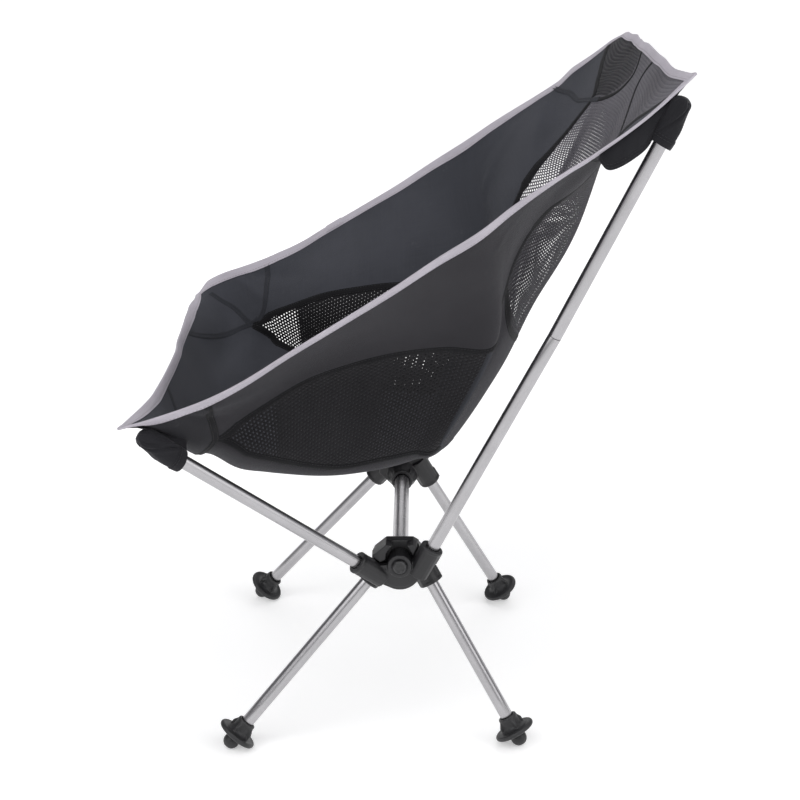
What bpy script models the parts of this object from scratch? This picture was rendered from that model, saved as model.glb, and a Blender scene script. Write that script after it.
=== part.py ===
"""Ultralight backpacking chair: shock-corded tubular frame with a four-corner sling seat.

Units are metres, +Z up, the sitter faces -Y, +X is the sitter's left hand side.
The chair is mirror-symmetric about X = 0.  Key points are given in millimetres in a
frame whose origin lies on the floor half-way between the front and the rear feet;
Y_SHIFT then moves everything so that the middle of the chair's footprint box is at 0.
"""
import math

import bmesh
import bpy
import numpy as np
from mathutils import Matrix, Vector

# ----------------------------------------------------------------------------------
# driving dimensions (millimetres)
# ----------------------------------------------------------------------------------
MM = 0.001
Y_SHIFT = -29.86              # feet mid-point -> centre of the bounding box, along Y

TUBE_R = 6.35                 # legs and poles: 12.7 mm drawn aluminium tube
TUBE_WALL = 0.65
BAR_R = 8.0                   # spreader bar: 16 mm tube
BAR_WALL = 1.0
CORD_R = 1.6                  # elastic shock cord inside every tube
FIT = 0.35                    # radial clearance of a tube in its socket

PIVOT = (24.8, 190.2)         # Y, Z of the pin axis (parallel to X)
JOIN_X = 149.0                # plane between leg hub (inside) and pole yoke (outside)
SOCKET_R = 11.3               # leg socket outside radius
ARM_R = 10.8                  # yoke arm outside radius
INSERT = 28.0                 # how far a tube sits in its socket
BAR_Z = 173.0                 # spreader bar axis
BAR_Y = 24.3
BAR_END = 127.0
BAR_MOUTH = 104.0

FOOT_FRONT = (177.2, -141.8, 7.4)       # ball centres
FOOT_REAR = (170.1, 141.8, 7.4)
SOCKET_FRONT = (141.8, -7.7, 163.1)     # mouth centres of the leg sockets
SOCKET_REAR = (138.4, 55.8, 160.2)
BALL_R = 8.0
FLANGE_R = 20.2

ARM_FRONT = (166.0, -16.3, 193.8)       # mouth centres of the yoke arms
ARM_REAR = (162.0, 56.4, 207.6)
TIP_FRONT = (236.0, -202.7, 344.1)      # tube ends inside the corner pockets
BACK_JOINT = (184.6, 166.6, 424.0)      # where the two back pole sections meet
TIP_REAR = (205.0, 269.0, 637.6)
FERRULE_HALF = 20.0

ROCK_LIMIT = 4.0                        # degrees of forward rock between the stop ears

CLOTH = 1.6                             # sling thickness used for the solids
TAPE_W = 8.0                            # edge binding
TAPE_T = 2.6
SEG = 16                                # sides of a round piece

# Sling pattern stations from the front edge (first) to the top edge (last).  Each row
# has the rim R, the shoulder seam H, the bottom seam L, the mid-bottom B (x, y, z) and
# the centre line C (y, z).
STATIONS = (
    ((242, -220, 357), (156, -211, 352), (104, -209, 350), (52, -208, 349), (-208, 348)),
    ((246, -193, 366), (204, -174, 330), (150, -175, 304), (76, -178, 300), (-179, 299)),
    ((243, -149, 381), (190, -139, 331), (180, -140, 315), (112, -140, 275), (-140, 268)),
    ((237, -112, 398), (176, -112, 346), (176, -104, 306), (108, -105, 265), (-105, 257)),
    ((236, -68, 426), (152, -64, 371), (148, -68, 287), (90, -66, 255), (-65, 249)),
    ((232, -22, 454), (138, -20, 383), (126, -32, 276), (80, -30, 253), (-28, 248)),
    ((228, 20, 480), (127, 25, 390), (113, 6, 278), (70, 8, 255), (10, 252)),
    ((226, 60, 507), (112, 68, 390), (101, 37, 281), (62, 41, 263), (43, 260)),
    ((226, 96, 530), (98, 113, 386), (92, 64, 286), (58, 75, 279), (79, 277)),
    ((219, 125, 551), (86, 120, 420), (66, 116, 363), (35, 121, 343), (123, 335)),
    ((216, 148, 566), (80, 136, 470), (60, 145, 432), (32, 155, 416), (160, 408)),
    ((214, 172, 581), (98, 162, 520), (66, 180, 498), (34, 194, 487), (201, 484)),
    ((215, 198, 598), (132, 192, 554), (88, 212, 561), (45, 221, 563), (225, 564)),
    ((215, 236, 626), (148, 229, 604), (100, 239, 611), (50, 244, 613), (246, 614)),
    ((204, 275, 661), (140, 271, 657), (94, 269, 656), (47, 268, 655), (268, 655)),
)
NS = len(STATIONS) - 1
U_TIP = 1.7 / NS                        # front tip of the hip mesh
U_HIP = 8.0 / NS                        # rear seam of the hip mesh
U_LUMBAR = 9.5 / NS                     # seam between the solid seat and the back mesh
V_TIP = 0.62
SEAM = 0.5                              # half gap between panels, mm

COLOURS = {
    "tube": ((0.60, 0.60, 0.62), 0.28, 1.0),
    "plastic": ((0.018, 0.018, 0.020), 0.42, 0.0),
    "rubber": ((0.020, 0.020, 0.022), 0.60, 0.0),
    "steel": ((0.10, 0.10, 0.11), 0.35, 1.0),
    "cord": ((0.03, 0.03, 0.03), 0.80, 0.0),
    "fabric": ((0.035, 0.036, 0.042), 0.85, 0.0),
    "mesh": ((0.022, 0.022, 0.026), 0.80, 0.0),
    "tape": ((0.46, 0.44, 0.47), 0.80, 0.0),
}


# ----------------------------------------------------------------------------------
# scene helpers
# ----------------------------------------------------------------------------------
def clear_scene():
    for obj in list(bpy.data.objects):
        bpy.data.objects.remove(obj, do_unlink=True)


def material(name, kind):
    colour, rough, metal = COLOURS[kind]
    mat = bpy.data.materials.new(name)
    mat.use_nodes = True
    shader = next(n for n in mat.node_tree.nodes if n.type == "BSDF_PRINCIPLED")
    shader.inputs["Base Color"].default_value = (*colour, 1.0)
    shader.inputs["Roughness"].default_value = rough
    shader.inputs["Metallic"].default_value = metal
    mat.diffuse_color = (*colour, 1.0)
    return mat


def vec(p):
    """Key point in mm -> metres in the part's frame."""
    return Vector((p[0] * MM, (p[1] + Y_SHIFT) * MM, p[2] * MM))


def flip(p, side):
    return (p[0] * side,) + tuple(p[1:])


def empty(name, location):
    obj = bpy.data.objects.new(name, None)
    obj.location = location
    obj.empty_display_size = 0.02
    bpy.context.collection.objects.link(obj)
    return obj


def face_out(bm):
    """Point every face away from the material."""
    bmesh.ops.recalc_face_normals(bm, faces=bm.faces)
    if bm.calc_volume(signed=True) < 0:
        bmesh.ops.reverse_faces(bm, faces=bm.faces)


def finish(bm, name, kind, origin, parent=None, sharp=35.0):
    """Store a bmesh in world coordinates as an object whose origin is `origin`."""
    face_out(bm)
    bm.transform(Matrix.Translation(-origin))
    mesh = bpy.data.meshes.new(name)
    bm.to_mesh(mesh)
    bm.free()
    mesh.shade_smooth()
    mesh.set_sharp_from_angle(angle=math.radians(sharp))
    mesh.materials.append(material(name + "_mat", kind))
    obj = bpy.data.objects.new(name, mesh)
    bpy.context.collection.objects.link(obj)
    obj.location = origin
    if parent is not None:
        obj.parent = parent
        obj.location = origin - parent.location
    return obj


def axis_matrix(base, direction):
    """Matrix whose +Z runs along `direction` from `base`."""
    z = direction.normalized()
    x = Vector((1, 0, 0)) if abs(z.x) < 0.8 else Vector((0, 1, 0))
    x = (x - z * x.dot(z)).normalized()
    y = z.cross(x)
    return Matrix.Translation(base) @ Matrix((x, y, z)).transposed().to_4x4()


def turned(profile, base, direction, steps=SEG):
    """Spin a closed profile of (radius, height) points in mm about an axis."""
    bm = bmesh.new()
    verts = [bm.verts.new((r * MM, 0.0, h * MM)) for r, h in profile]
    edges = [bm.edges.new((verts[i], verts[(i + 1) % len(verts)]))
             for i in range(len(verts))
             if not (profile[i][0] == 0 and profile[(i + 1) % len(verts)][0] == 0)]
    bmesh.ops.spin(bm, geom=verts + edges, axis=(0, 0, 1), cent=(0, 0, 0), steps=steps,
                   angle=2 * math.pi, use_duplicate=False)
    bmesh.ops.remove_doubles(bm, verts=bm.verts, dist=1e-6)
    bm.transform(axis_matrix(base, direction))
    return bm


def pipe(start, end, r_out, wall, steps=SEG):
    length = (end - start).length / MM
    r_in = r_out - wall
    return turned(((r_in, 0), (r_out, 0), (r_out, length), (r_in, length)),
                  start, end - start, steps)


def rod(start, end, radius, steps=SEG, end_radius=None):
    length = (end - start).length / MM
    r_end = radius if end_radius is None else end_radius
    return turned(((0, 0), (radius, 0), (r_end, length), (0, length)),
                  start, end - start, steps)


def prism(outline, x0, x1):
    """Extrude a YZ outline (mm, absolute) between two X planes (mm)."""
    bm = bmesh.new()
    verts = [bm.verts.new((x0 * MM, (y + Y_SHIFT) * MM, z * MM)) for y, z in outline]
    face = bm.faces.new(verts)
    res = bmesh.ops.extrude_face_region(bm, geom=[face])
    moved = [g for g in res["geom"] if isinstance(g, bmesh.types.BMVert)]
    bmesh.ops.translate(bm, verts=moved, vec=((x1 - x0) * MM, 0, 0))
    bmesh.ops.recalc_face_normals(bm, faces=bm.faces)
    return bm


def solid(bm, name):
    face_out(bm)
    mesh = bpy.data.meshes.new(name)
    bm.to_mesh(mesh)
    bm.free()
    obj = bpy.data.objects.new(name, mesh)
    bpy.context.collection.objects.link(obj)
    return obj


def combine(base, operations):
    """Exact booleans on bmeshes, applied one after another: (kind, bmesh) pairs."""
    for kind, tool_bm in operations:
        target, tool = solid(base, "build_base"), solid(tool_bm, "build_tool")
        tool.hide_render = True
        tool.display_type = "WIRE"
        mod = target.modifiers.new("bool", "BOOLEAN")
        mod.operation = kind
        mod.solver = "EXACT"
        mod.object = tool
        bpy.context.view_layer.update()
        evaluated = target.evaluated_get(bpy.context.evaluated_depsgraph_get())
        base = bmesh.new()
        base.from_mesh(evaluated.to_mesh())
        evaluated.to_mesh_clear()
        for obj in (tool, target):
            bpy.data.objects.remove(obj, do_unlink=True)
        bmesh.ops.dissolve_degenerate(base, edges=base.edges, dist=1e-6)
    return base


def circle(cy, cz, radius, a0, a1, count):
    """Points of an arc in the YZ plane, angles in degrees from +Y towards +Z."""
    return [(cy + radius * math.cos(math.radians(a0 + (a1 - a0) * i / (count - 1))),
             cz + radius * math.sin(math.radians(a0 + (a1 - a0) * i / (count - 1))))
            for i in range(count)]


# ----------------------------------------------------------------------------------
# the frame
# ----------------------------------------------------------------------------------
def leg_hub(side):
    """Moulded hub: two leg sockets, the spreader socket, the pin seat and stop ears."""
    py, pz = PIVOT
    block = [(py + a, pz + b) for a, b in (
        (-12, 13), (12, 13), (20, 8), (23, 1), (24, -11), (12, -29), (-13, -29),
        (-26, -16), (-25, -1), (-20, 7))]
    plate = [(py + a, pz + b) for a, b in (
        (-13, 19), (13, 19), (18.5, 15.5), (21, 4), (22, -8), (12, -24), (-12, -24),
        (-24, -12), (-27, 4), (-24.5, 9.5))]
    ear_front = [(py + a, pz + b) for a, b in (
        (-13, 19), (-24.5, 9.5), (-27.3, 7.4), (-26.6, 6.6), (-19, 0.5), (-13.5, 3.5),
        (-12.5, 10), (-7, 18))]
    ear_rear = [(py + a, pz + b) for a, b in (
        (12.5, 19), (17.2, 17.2), (13.9, 9.8), (12.4, 7.8), (7, 18))]
    bm = prism(block, side * 125.5, side * 140)
    ops = [("UNION", prism(plate, side * 137.5, side * (JOIN_X + 3)))]
    for mouth, foot in ((SOCKET_FRONT, FOOT_FRONT), (SOCKET_REAR, FOOT_REAR)):
        m, f = vec(flip(mouth, side)), vec(flip(foot, side))
        d = (m - f).normalized()
        ops.append(("UNION", rod(m, m + d * 33 * MM, SOCKET_R, end_radius=SOCKET_R + 0.6)))
    bar0 = vec((side * BAR_MOUTH, BAR_Y, BAR_Z))
    ops.append(("UNION", rod(bar0, vec((side * 130, BAR_Y, BAR_Z)), 11.2)))
    ops.append(("UNION", rod(vec((side * 113, BAR_Y, BAR_Z)), vec((side * 126.5, BAR_Y, BAR_Z)),
                             11.6, end_radius=17.5)))
    pin0 = vec((side * (JOIN_X - 0.3), *PIVOT))
    ops.append(("DIFFERENCE", rod(pin0, vec((side * 175, *PIVOT)), 37.5, steps=32)))
    ops.append(("UNION", prism(ear_front, side * (JOIN_X - 4), side * (JOIN_X + 12))))
    ops.append(("UNION", prism(ear_rear, side * (JOIN_X - 4), side * (JOIN_X + 12))))
    for mouth, foot in ((SOCKET_FRONT, FOOT_FRONT), (SOCKET_REAR, FOOT_REAR)):
        m, f = vec(flip(mouth, side)), vec(flip(foot, side))
        d = (m - f).normalized()
        ops.append(("DIFFERENCE", rod(m - d * 5 * MM, m + d * (INSERT + 1) * MM,
                                      TUBE_R + FIT)))
    ops.append(("DIFFERENCE", rod(vec((side * 100, BAR_Y, BAR_Z)),
                                  vec((side * (BAR_END + 1), BAR_Y, BAR_Z)), BAR_R + FIT)))
    ops.append(("DIFFERENCE", rod(vec((side * 129.5, *PIVOT)), vec((side * 170, *PIVOT)), 4.35)))
    return combine(bm, ops)


def pole_yoke(side):
    """Moulded V that turns on the pin and holds a front and a back pole."""
    py, pz = PIVOT
    x_in, x_out = side * (JOIN_X - 3), side * (JOIN_X + 15.5)
    outline = circle(py, pz, 23.5, 205, 332, 12)
    outline += [(py + 31, pz + 6), (py + 21, pz + 11), (py + 12.5, pz + 2),
                (py + 6, pz + 10), (py - 5, pz + 10), (py - 12, pz - 6),
                (py - 27, pz - 0.5)]
    bm = prism(outline, x_in, x_out)
    ops = []
    for mouth, far in ((ARM_FRONT, TIP_FRONT), (ARM_REAR, BACK_JOINT)):
        m, t = vec(flip(mouth, side)), vec(flip(far, side))
        d = (t - m).normalized()
        ops.append(("UNION", rod(m - d * 33 * MM, m, ARM_R)))
    ops.append(("UNION", rod(vec((side * (JOIN_X - 2), *PIVOT)),
                             vec((side * (JOIN_X + 20), *PIVOT)), 11.8, steps=24)))
    ops.append(("DIFFERENCE", rod(vec((side * 120, *PIVOT)), vec((side * (JOIN_X + 0.3), *PIVOT)),
                                  60, steps=24)))
    for mouth, far in ((ARM_FRONT, TIP_FRONT), (ARM_REAR, BACK_JOINT)):
        m, t = vec(flip(mouth, side)), vec(flip(far, side))
        d = (t - m).normalized()
        ops.append(("DIFFERENCE", rod(m - d * (INSERT + 1) * MM, m + d * 5 * MM,
                                      TUBE_R + FIT)))
    ops.append(("DIFFERENCE", rod(vec((side * 140, *PIVOT)), vec((side * 180, *PIVOT)), 4.35)))
    return combine(bm, ops)


def foot_profile():
    """Ball, dished flange and collar with a blind bore, heights from the ball centre."""
    pts = [(0, -BALL_R + 0.6)]
    for i in range(7):
        a = math.radians(-68 + i * 19)
        pts.append((BALL_R * math.cos(a), BALL_R * math.sin(a)))
    pts += [(9.5, 7.6), (18.2, 6.9), (FLANGE_R, 8.2), (FLANGE_R, 10.6), (18.7, 11.8),
            (11.0, 12.6), (8.9, 14.5), (8.7, 25.0), (TUBE_R + FIT, 25.0),
            (TUBE_R + FIT, 13.6), (0, 13.6)]
    return pts


def build_leg(label, side, foot, mouth, parent):
    f, m = vec(flip(foot, side)), vec(flip(mouth, side))
    d = (m - f).normalized()
    span = (m - f).length
    tube = pipe(f + d * 14 * MM, m + d * INSERT * MM, TUBE_R, TUBE_WALL)
    finish(tube, label + "_leg", "tube", m, parent)
    ball = turned(foot_profile(), f, d, steps=SEG)
    # the ball is trimmed by a small level pad at floor height
    floor = bmesh.new()
    bmesh.ops.create_cube(floor, size=0.06)
    floor.transform(Matrix.Translation(Vector((f.x, f.y, -0.03))))
    ball = combine(ball, [("DIFFERENCE", floor)])
    finish(ball, label + "_foot", "rubber", m, parent)
    cord = rod(f + d * 14.2 * MM, m + d * (INSERT + 0.5) * MM, CORD_R, steps=8)
    finish(cord, label + "_leg_cord", "cord", m, parent)
    return span


def tip_cap(base, direction, name, parent, origin):
    """Plastic plug with a rounded head on a pole's open end."""
    prof = [(0, -9), (TUBE_R - TUBE_WALL - 0.35, -9), (TUBE_R - TUBE_WALL - 0.35, 0.3),
            (TUBE_R + 0.5, 0.3), (TUBE_R + 0.6, 2.0), (5.6, 4.6), (3.0, 6.2), (0, 6.6)]
    finish(turned(prof, base, direction), name, "plastic", origin, parent)


def corner_pocket(name, tip, back, length, parent, origin, lean):
    """Sewn sock over a pole tip: open at its lower end, oval towards the sling."""
    d = (tip - back).normalized()
    r0 = TUBE_R + 2.6
    bm = bmesh.new()
    rings = []
    outer = [(-length, 10.6, 11.4), (-length * 0.55, 11.1, 12.2), (-6.0, 10.4, 11.2),
             (2.6, 9.0, 9.2), (5.6, 5.0, 5.2)]
    inner = [(3.8, 4.2, 4.2), (0.8, 8.0, 8.0), (-6.0, r0, r0), (-length * 0.55, r0, r0),
             (-length, r0, r0)]
    m = axis_matrix(tip, d)
    ex = (lean - d * lean.dot(d)).normalized()
    ey = d.cross(ex)
    for h, a, b in outer + inner:
        ring = []
        for i in range(SEG):
            t = 2 * math.pi * i / SEG
            p = tip + d * h * MM + ey * a * MM * math.cos(t) + ex * b * MM * math.sin(t)
            ring.append(bm.verts.new(p))
        rings.append(ring)
    half = len(outer)
    for k in range(len(rings) - 1):
        if k == half - 1:
            continue
        for i in range(SEG):
            j = (i + 1) % SEG
            bm.faces.new((rings[k][i], rings[k][j], rings[k + 1][j], rings[k + 1][i]))
    bm.faces.new(rings[half - 1])
    bm.faces.new(list(reversed(rings[half])))
    for i in range(SEG):
        j = (i + 1) % SEG
        bm.faces.new((rings[-1][i], rings[-1][j], rings[0][j], rings[0][i]))
    finish(bm, name, "fabric", origin, parent)


# ----------------------------------------------------------------------------------
# the sling surface
# ----------------------------------------------------------------------------------
def spline(points, t):
    """Uniform Catmull-Rom through rows of points; t runs from 0 to 1."""
    pts = np.asarray(points, dtype=float)
    n = len(pts) - 1
    x = min(max(t, 0.0), 1.0) * n
    k = min(int(x), n - 1)
    f = x - k
    p1, p2 = pts[k], pts[k + 1]
    p0 = pts[k - 1] if k > 0 else 2 * p1 - p2
    p3 = pts[k + 2] if k < n - 1 else 2 * p2 - p1
    return 0.5 * ((2 * p1) + (p2 - p0) * f + (2 * p0 - 5 * p1 + 4 * p2 - p3) * f * f
                  + (3 * p1 - p0 - 3 * p2 + p3) * f ** 3)


TABLE = np.array([[r, h, l, b, (0.0, c[0], c[1])] for r, h, l, b, c in STATIONS])


def chord_spline(p0, p1, p2, p3, f):
    """Centripetal Catmull-Rom between p1 and p2."""
    t0 = 0.0
    t1 = t0 + max(np.linalg.norm(p1 - p0), 1e-6) ** 0.5
    t2 = t1 + max(np.linalg.norm(p2 - p1), 1e-6) ** 0.5
    t3 = t2 + max(np.linalg.norm(p3 - p2), 1e-6) ** 0.5
    t = t1 + (t2 - t1) * f
    a1 = (t1 - t) / (t1 - t0) * p0 + (t - t0) / (t1 - t0) * p1
    a2 = (t2 - t) / (t2 - t1) * p1 + (t - t1) / (t2 - t1) * p2
    a3 = (t3 - t) / (t3 - t2) * p2 + (t - t2) / (t3 - t2) * p3
    b1 = (t2 - t) / (t2 - t0) * a1 + (t - t0) / (t2 - t0) * a2
    b2 = (t3 - t) / (t3 - t1) * a2 + (t - t1) / (t3 - t1) * a3
    return (t2 - t) / (t2 - t1) * b1 + (t - t1) / (t2 - t1) * b2


def section(u):
    """The five seam points at u, as an array from centre to rim."""
    return np.array([spline(TABLE[:, k, :], u) for k in (4, 3, 2, 1, 0)])


def sling(u, v):
    """Point of the sling's middle surface in mm; v is 0 at the centre, +-1 at the rims."""
    pts = section(u)
    side = 1.0 if v >= 0 else -1.0
    w = min(abs(v), 1.0) * 4
    k = min(int(w), 3)
    f = w - k
    p1, p2 = pts[k], pts[k + 1]
    p0 = pts[k - 1] if k > 0 else pts[1] * np.array([-1, 1, 1])
    p3 = pts[k + 2] if k < 3 else 2 * p2 - p1
    p = chord_spline(p0, p1, p2, p3, f)
    return p * np.array([side, 1, 1])


def sling_normal(u, v):
    """Unit normal that points into the seat."""
    e = 1e-3
    u0, u1 = max(u - e, 0), min(u + e, 1)
    v0, v1 = max(v - e, -1), min(v + e, 1)
    n = np.cross(sling(u, v1) - sling(u, v0), sling(u1, v) - sling(u0, v))
    return n / np.linalg.norm(n)


def edge_inset():
    """Widths of the binding tape expressed in u at both ends."""
    a = np.linalg.norm(sling(0.02, 0.3) - sling(0, 0.3)) / 0.02
    b = np.linalg.norm(sling(1, 0.3) - sling(0.98, 0.3)) / 0.02
    return TAPE_W / a, TAPE_W / b


INSET_U = edge_inset()


def rim_inset(u):
    """Width of the binding tape expressed in v at the side rims."""
    return TAPE_W / (np.linalg.norm(sling(u, 1) - sling(u, 0.96)) / 0.04)


def off(u, v, sign):
    """v moved away from a seam by the half gap, towards +v or -v."""
    per_v = np.linalg.norm(sling(u, v + sign * 0.01) - sling(u, v)) / 0.01
    return v + sign * SEAM / per_v


def shell(rows, name, kind, thickness, parent, origin, closed=False):
    """Thick panel from a grid of (u, v) pairs."""
    bm = bmesh.new()
    top, low = [], []
    for row in rows:
        t_row, l_row = [], []
        for u, v in row:
            p, n = sling(u, v), sling_normal(u, v) * thickness * 0.5
            t_row.append(bm.verts.new(vec(p + n)))
            l_row.append(bm.verts.new(vec(p - n)))
        top.append(t_row)
        low.append(l_row)
    nr, nc = len(rows), len(rows[0])
    last = nr if closed else nr - 1
    for i in range(last):
        k = (i + 1) % nr
        for j in range(nc - 1):
            bm.faces.new((top[i][j], top[i][j + 1], top[k][j + 1], top[k][j]))
            bm.faces.new((low[k][j], low[k][j + 1], low[i][j + 1], low[i][j]))
        bm.faces.new((top[i][0], top[k][0], low[k][0], low[i][0]))
        bm.faces.new((top[k][-1], top[i][-1], low[i][-1], low[k][-1]))
    if not closed:
        for j in range(nc - 1):
            bm.faces.new((top[0][j + 1], top[0][j], low[0][j], low[0][j + 1]))
            bm.faces.new((top[-1][j], top[-1][j + 1], low[-1][j + 1], low[-1][j]))
    bmesh.ops.triangulate(bm, faces=bm.faces)
    return finish(bm, name, kind, origin, parent, sharp=50)


def seam_low(u):
    """v of the seam between the seat panel and its neighbour outside it."""
    if u <= U_TIP:
        return 0.5 + (V_TIP - 0.5) * (u / U_TIP) ** 1.3
    f = min((u - U_TIP) / (1.0 / NS), 1.0)
    return V_TIP + (0.5 - V_TIP) * f


def seam_high(u):
    """v of the lower seam of the side panel."""
    if u <= U_TIP:
        return seam_low(u)
    f = min((u - U_TIP) / (1.0 / NS), 1.0)
    return V_TIP + (0.75 - V_TIP) * f


def u_samples(u0, u1, per_station=2):
    """Grid lines shared by all panels: fixed fractions of each station interval."""
    marks = {round(i / (NS * per_station), 6) for i in range(NS * per_station + 1)}
    marks |= {round(U_TIP, 6), round(U_LUMBAR, 6)}
    inside = sorted(m for m in marks if u0 + 1e-4 < m < u1 - 1e-4)
    return [u0] + inside + [u1]


def spread(a, b, count):
    return [a + (b - a) * i / count for i in range(count + 1)]


def build_sling(parent, origin):
    gap_u = 0.0008
    # central solid seat
    rows = []
    for u in u_samples(INSET_U[0] + gap_u, U_HIP - gap_u):
        lim = off(u, seam_low(u), -1)
        rows.append([(u, v) for v in spread(-lim, lim, 8)])
    shell(rows, "seat_panel", "fabric", CLOTH, parent, origin)
    # lumbar band
    rows = []
    for u in u_samples(U_HIP + gap_u, U_LUMBAR - gap_u):
        lim = off(u, 0.75, -1)
        rows.append([(u, v) for v in spread(-lim, lim, 12)])
    shell(rows, "lumbar_panel", "fabric", CLOTH, parent, origin)
    # back mesh
    rows = []
    for u in u_samples(U_LUMBAR + gap_u, 1 - INSET_U[1] - gap_u):
        lim = off(u, 0.75, -1)
        rows.append([(u, v) for v in spread(-lim, lim, 12)])
    shell(rows, "back_mesh", "mesh", CLOTH, parent, origin)
    for side, word in ((1, "left"), (-1, "right")):
        rows = []
        for u in u_samples(U_TIP + 0.006, U_HIP - gap_u):
            a, b = off(u, seam_low(u), 1), off(u, seam_high(u), -1)
            rows.append([(u, side * v) for v in spread(a, b, 2)])
        shell(rows, word + "_hip_mesh", "mesh", CLOTH, parent, origin)
        rows = []
        for u in u_samples(INSET_U[0] + gap_u, 1 - INSET_U[1] - gap_u):
            a, b = off(u, seam_high(u), 1), off(u, 1 - rim_inset(u), -1)
            rows.append([(u, side * v) for v in spread(a, b, 3)])
        shell(rows, word + "_side_panel", "fabric", CLOTH, parent, origin)
    # binding tape: a closed loop round the whole edge, on the panels' own grid lines
    def across(split, mid, vi):
        """(outer v, inner v) pairs from one rim to the other."""
        half = [(v, v) for v in spread(0, split, mid)]
        half += [(split + (1 - split) * k / 3, split + (vi - split) * k / 3)
                 for k in (1, 2, 3)]
        return [(-p, -q) for p, q in reversed(half[1:])] + half

    u_lo, u_hi = INSET_U[0], 1 - INSET_U[1]
    sides = [u for u in u_samples(u_lo, u_hi)]
    rows = []
    for u in sides[1:-1]:
        rows.append([(u, 1 - rim_inset(u)), (u, 1.0)])
    for vo, vi in reversed(across(0.75, 6, 1 - rim_inset(u_hi))):
        rows.append([(u_hi, vi), (1.0, vo)])
    for u in reversed(sides[1:-1]):
        rows.append([(u, rim_inset(u) - 1), (u, -1.0)])
    for vo, vi in across(0.5, 4, 1 - rim_inset(u_lo)):
        rows.append([(u_lo, vi), (0.0, vo)])
    shell(rows, "edge_binding", "tape", TAPE_T, parent, origin, closed=True)


# ----------------------------------------------------------------------------------
# assembly
# ----------------------------------------------------------------------------------
def main():
    clear_scene()
    pivot = vec((0, *PIVOT))
    base = empty("base", vec((0, BAR_Y, BAR_Z)))
    rock = empty("seat_frame", pivot)

    bar0, bar1 = vec((-BAR_END, BAR_Y, BAR_Z)), vec((BAR_END, BAR_Y, BAR_Z))
    finish(pipe(bar0, bar1, BAR_R, BAR_WALL), "spreader_bar", "tube", base.location, base)
    ends = Vector((0.4 * MM, 0, 0))
    finish(rod(bar0 - ends, bar1 + ends, CORD_R, steps=8), "spreader_cord", "cord",
           base.location, base)

    for side, word in ((1, "left"), (-1, "right")):
        finish(leg_hub(side), word + "_leg_hub", "plastic", base.location, base)
        finish(rod(vec((side * 129.8, *PIVOT)), vec((side * (JOIN_X + 19.6), *PIVOT)), 4.0),
               word + "_pivot_pin", "steel", base.location, base)
        cap = ((0, 0), (6.6, 0), (6.6, 1.6), (5.6, 2.7), (0, 3.0))
        finish(turned(cap, vec((side * (JOIN_X + 20.3), *PIVOT)), Vector((side, 0, 0))),
               word + "_pin_cap", "plastic", base.location, base)
        for where, foot, mouth in (("front", FOOT_FRONT, SOCKET_FRONT),
                                   ("rear", FOOT_REAR, SOCKET_REAR)):
            m = vec(flip(mouth, side))
            slide = empty(f"{word}_{where}_slide", m)
            build_leg(f"{word}_{where}", side, foot, mouth, slide)

        finish(pole_yoke(side), word + "_pole_yoke", "plastic", pivot, rock)

        m, t = vec(flip(ARM_FRONT, side)), vec(flip(TIP_FRONT, side))
        d = (t - m).normalized()
        finish(pipe(m - d * INSERT * MM, t, TUBE_R, TUBE_WALL), word + "_front_pole", "tube",
               pivot, rock)
        tip_cap(t, d, word + "_front_pole_tip", rock, pivot)
        finish(rod(m - d * (INSERT + 0.5) * MM, t - d * 9.4 * MM, CORD_R, steps=8),
               word + "_front_pole_cord", "cord", pivot, rock)
        corner_pocket(word + "_front_pocket", t + d * 4.0 * MM, m, 45.0, rock, pivot,
                      Vector((0, 0.6, 0.8)))

        m, j, t = (vec(flip(p, side)) for p in (ARM_REAR, BACK_JOINT, TIP_REAR))
        d0, d1 = (j - m).normalized(), (t - j).normalized()
        finish(pipe(m - d0 * INSERT * MM, j - d0 * 0.15 * MM, TUBE_R, TUBE_WALL),
               word + "_back_pole_lower", "tube", pivot, rock)
        finish(pipe(j + d1 * 0.3 * MM, t, TUBE_R, TUBE_WALL), word + "_back_pole_upper", "tube",
               pivot, rock)
        dm = (d0 + d1).normalized()
        finish(pipe(j - dm * FERRULE_HALF * MM, j + dm * FERRULE_HALF * MM,
                    TUBE_R - TUBE_WALL - 0.5, 0.6), word + "_back_pole_ferrule", "tube",
               pivot, rock)
        tip_cap(t, d1, word + "_back_pole_tip", rock, pivot)
        route = [m - d0 * (INSERT + 0.5) * MM, j - dm * 0.02, j, j + dm * 0.02,
                 t - d1 * 9.4 * MM]
        bm = bmesh.new()
        rings = []
        for k, p in enumerate(route):
            axis = (route[min(k + 1, len(route) - 1)]
                    - route[max(k - 1, 0)]).normalized()
            mat = axis_matrix(p, axis)
            rings.append([bm.verts.new(mat @ Vector((CORD_R * MM * math.cos(a),
                                                     CORD_R * MM * math.sin(a), 0)))
                          for a in (2 * math.pi * i / 8 for i in range(8))])
        for r0, r1 in zip(rings, rings[1:]):
            for i in range(8):
                bm.faces.new((r0[i], r0[(i + 1) % 8], r1[(i + 1) % 8], r1[i]))
        bm.faces.new(list(reversed(rings[0])))
        bm.faces.new(rings[-1])
        finish(bm, word + "_back_pole_cord", "cord", pivot, rock)
        corner_pocket(word + "_back_pocket", t + d1 * 4.0 * MM, m, 43.0, rock, pivot,
                      Vector((0, -0.9, 0.4)))

    build_sling(rock, pivot)


main()
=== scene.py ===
"""Looks of the backpacking chair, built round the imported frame.  Metres, +Z up, sitter faces -Y."""
import math

import bmesh
import bpy
import numpy as np
from mathutils import Matrix, Vector


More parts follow.
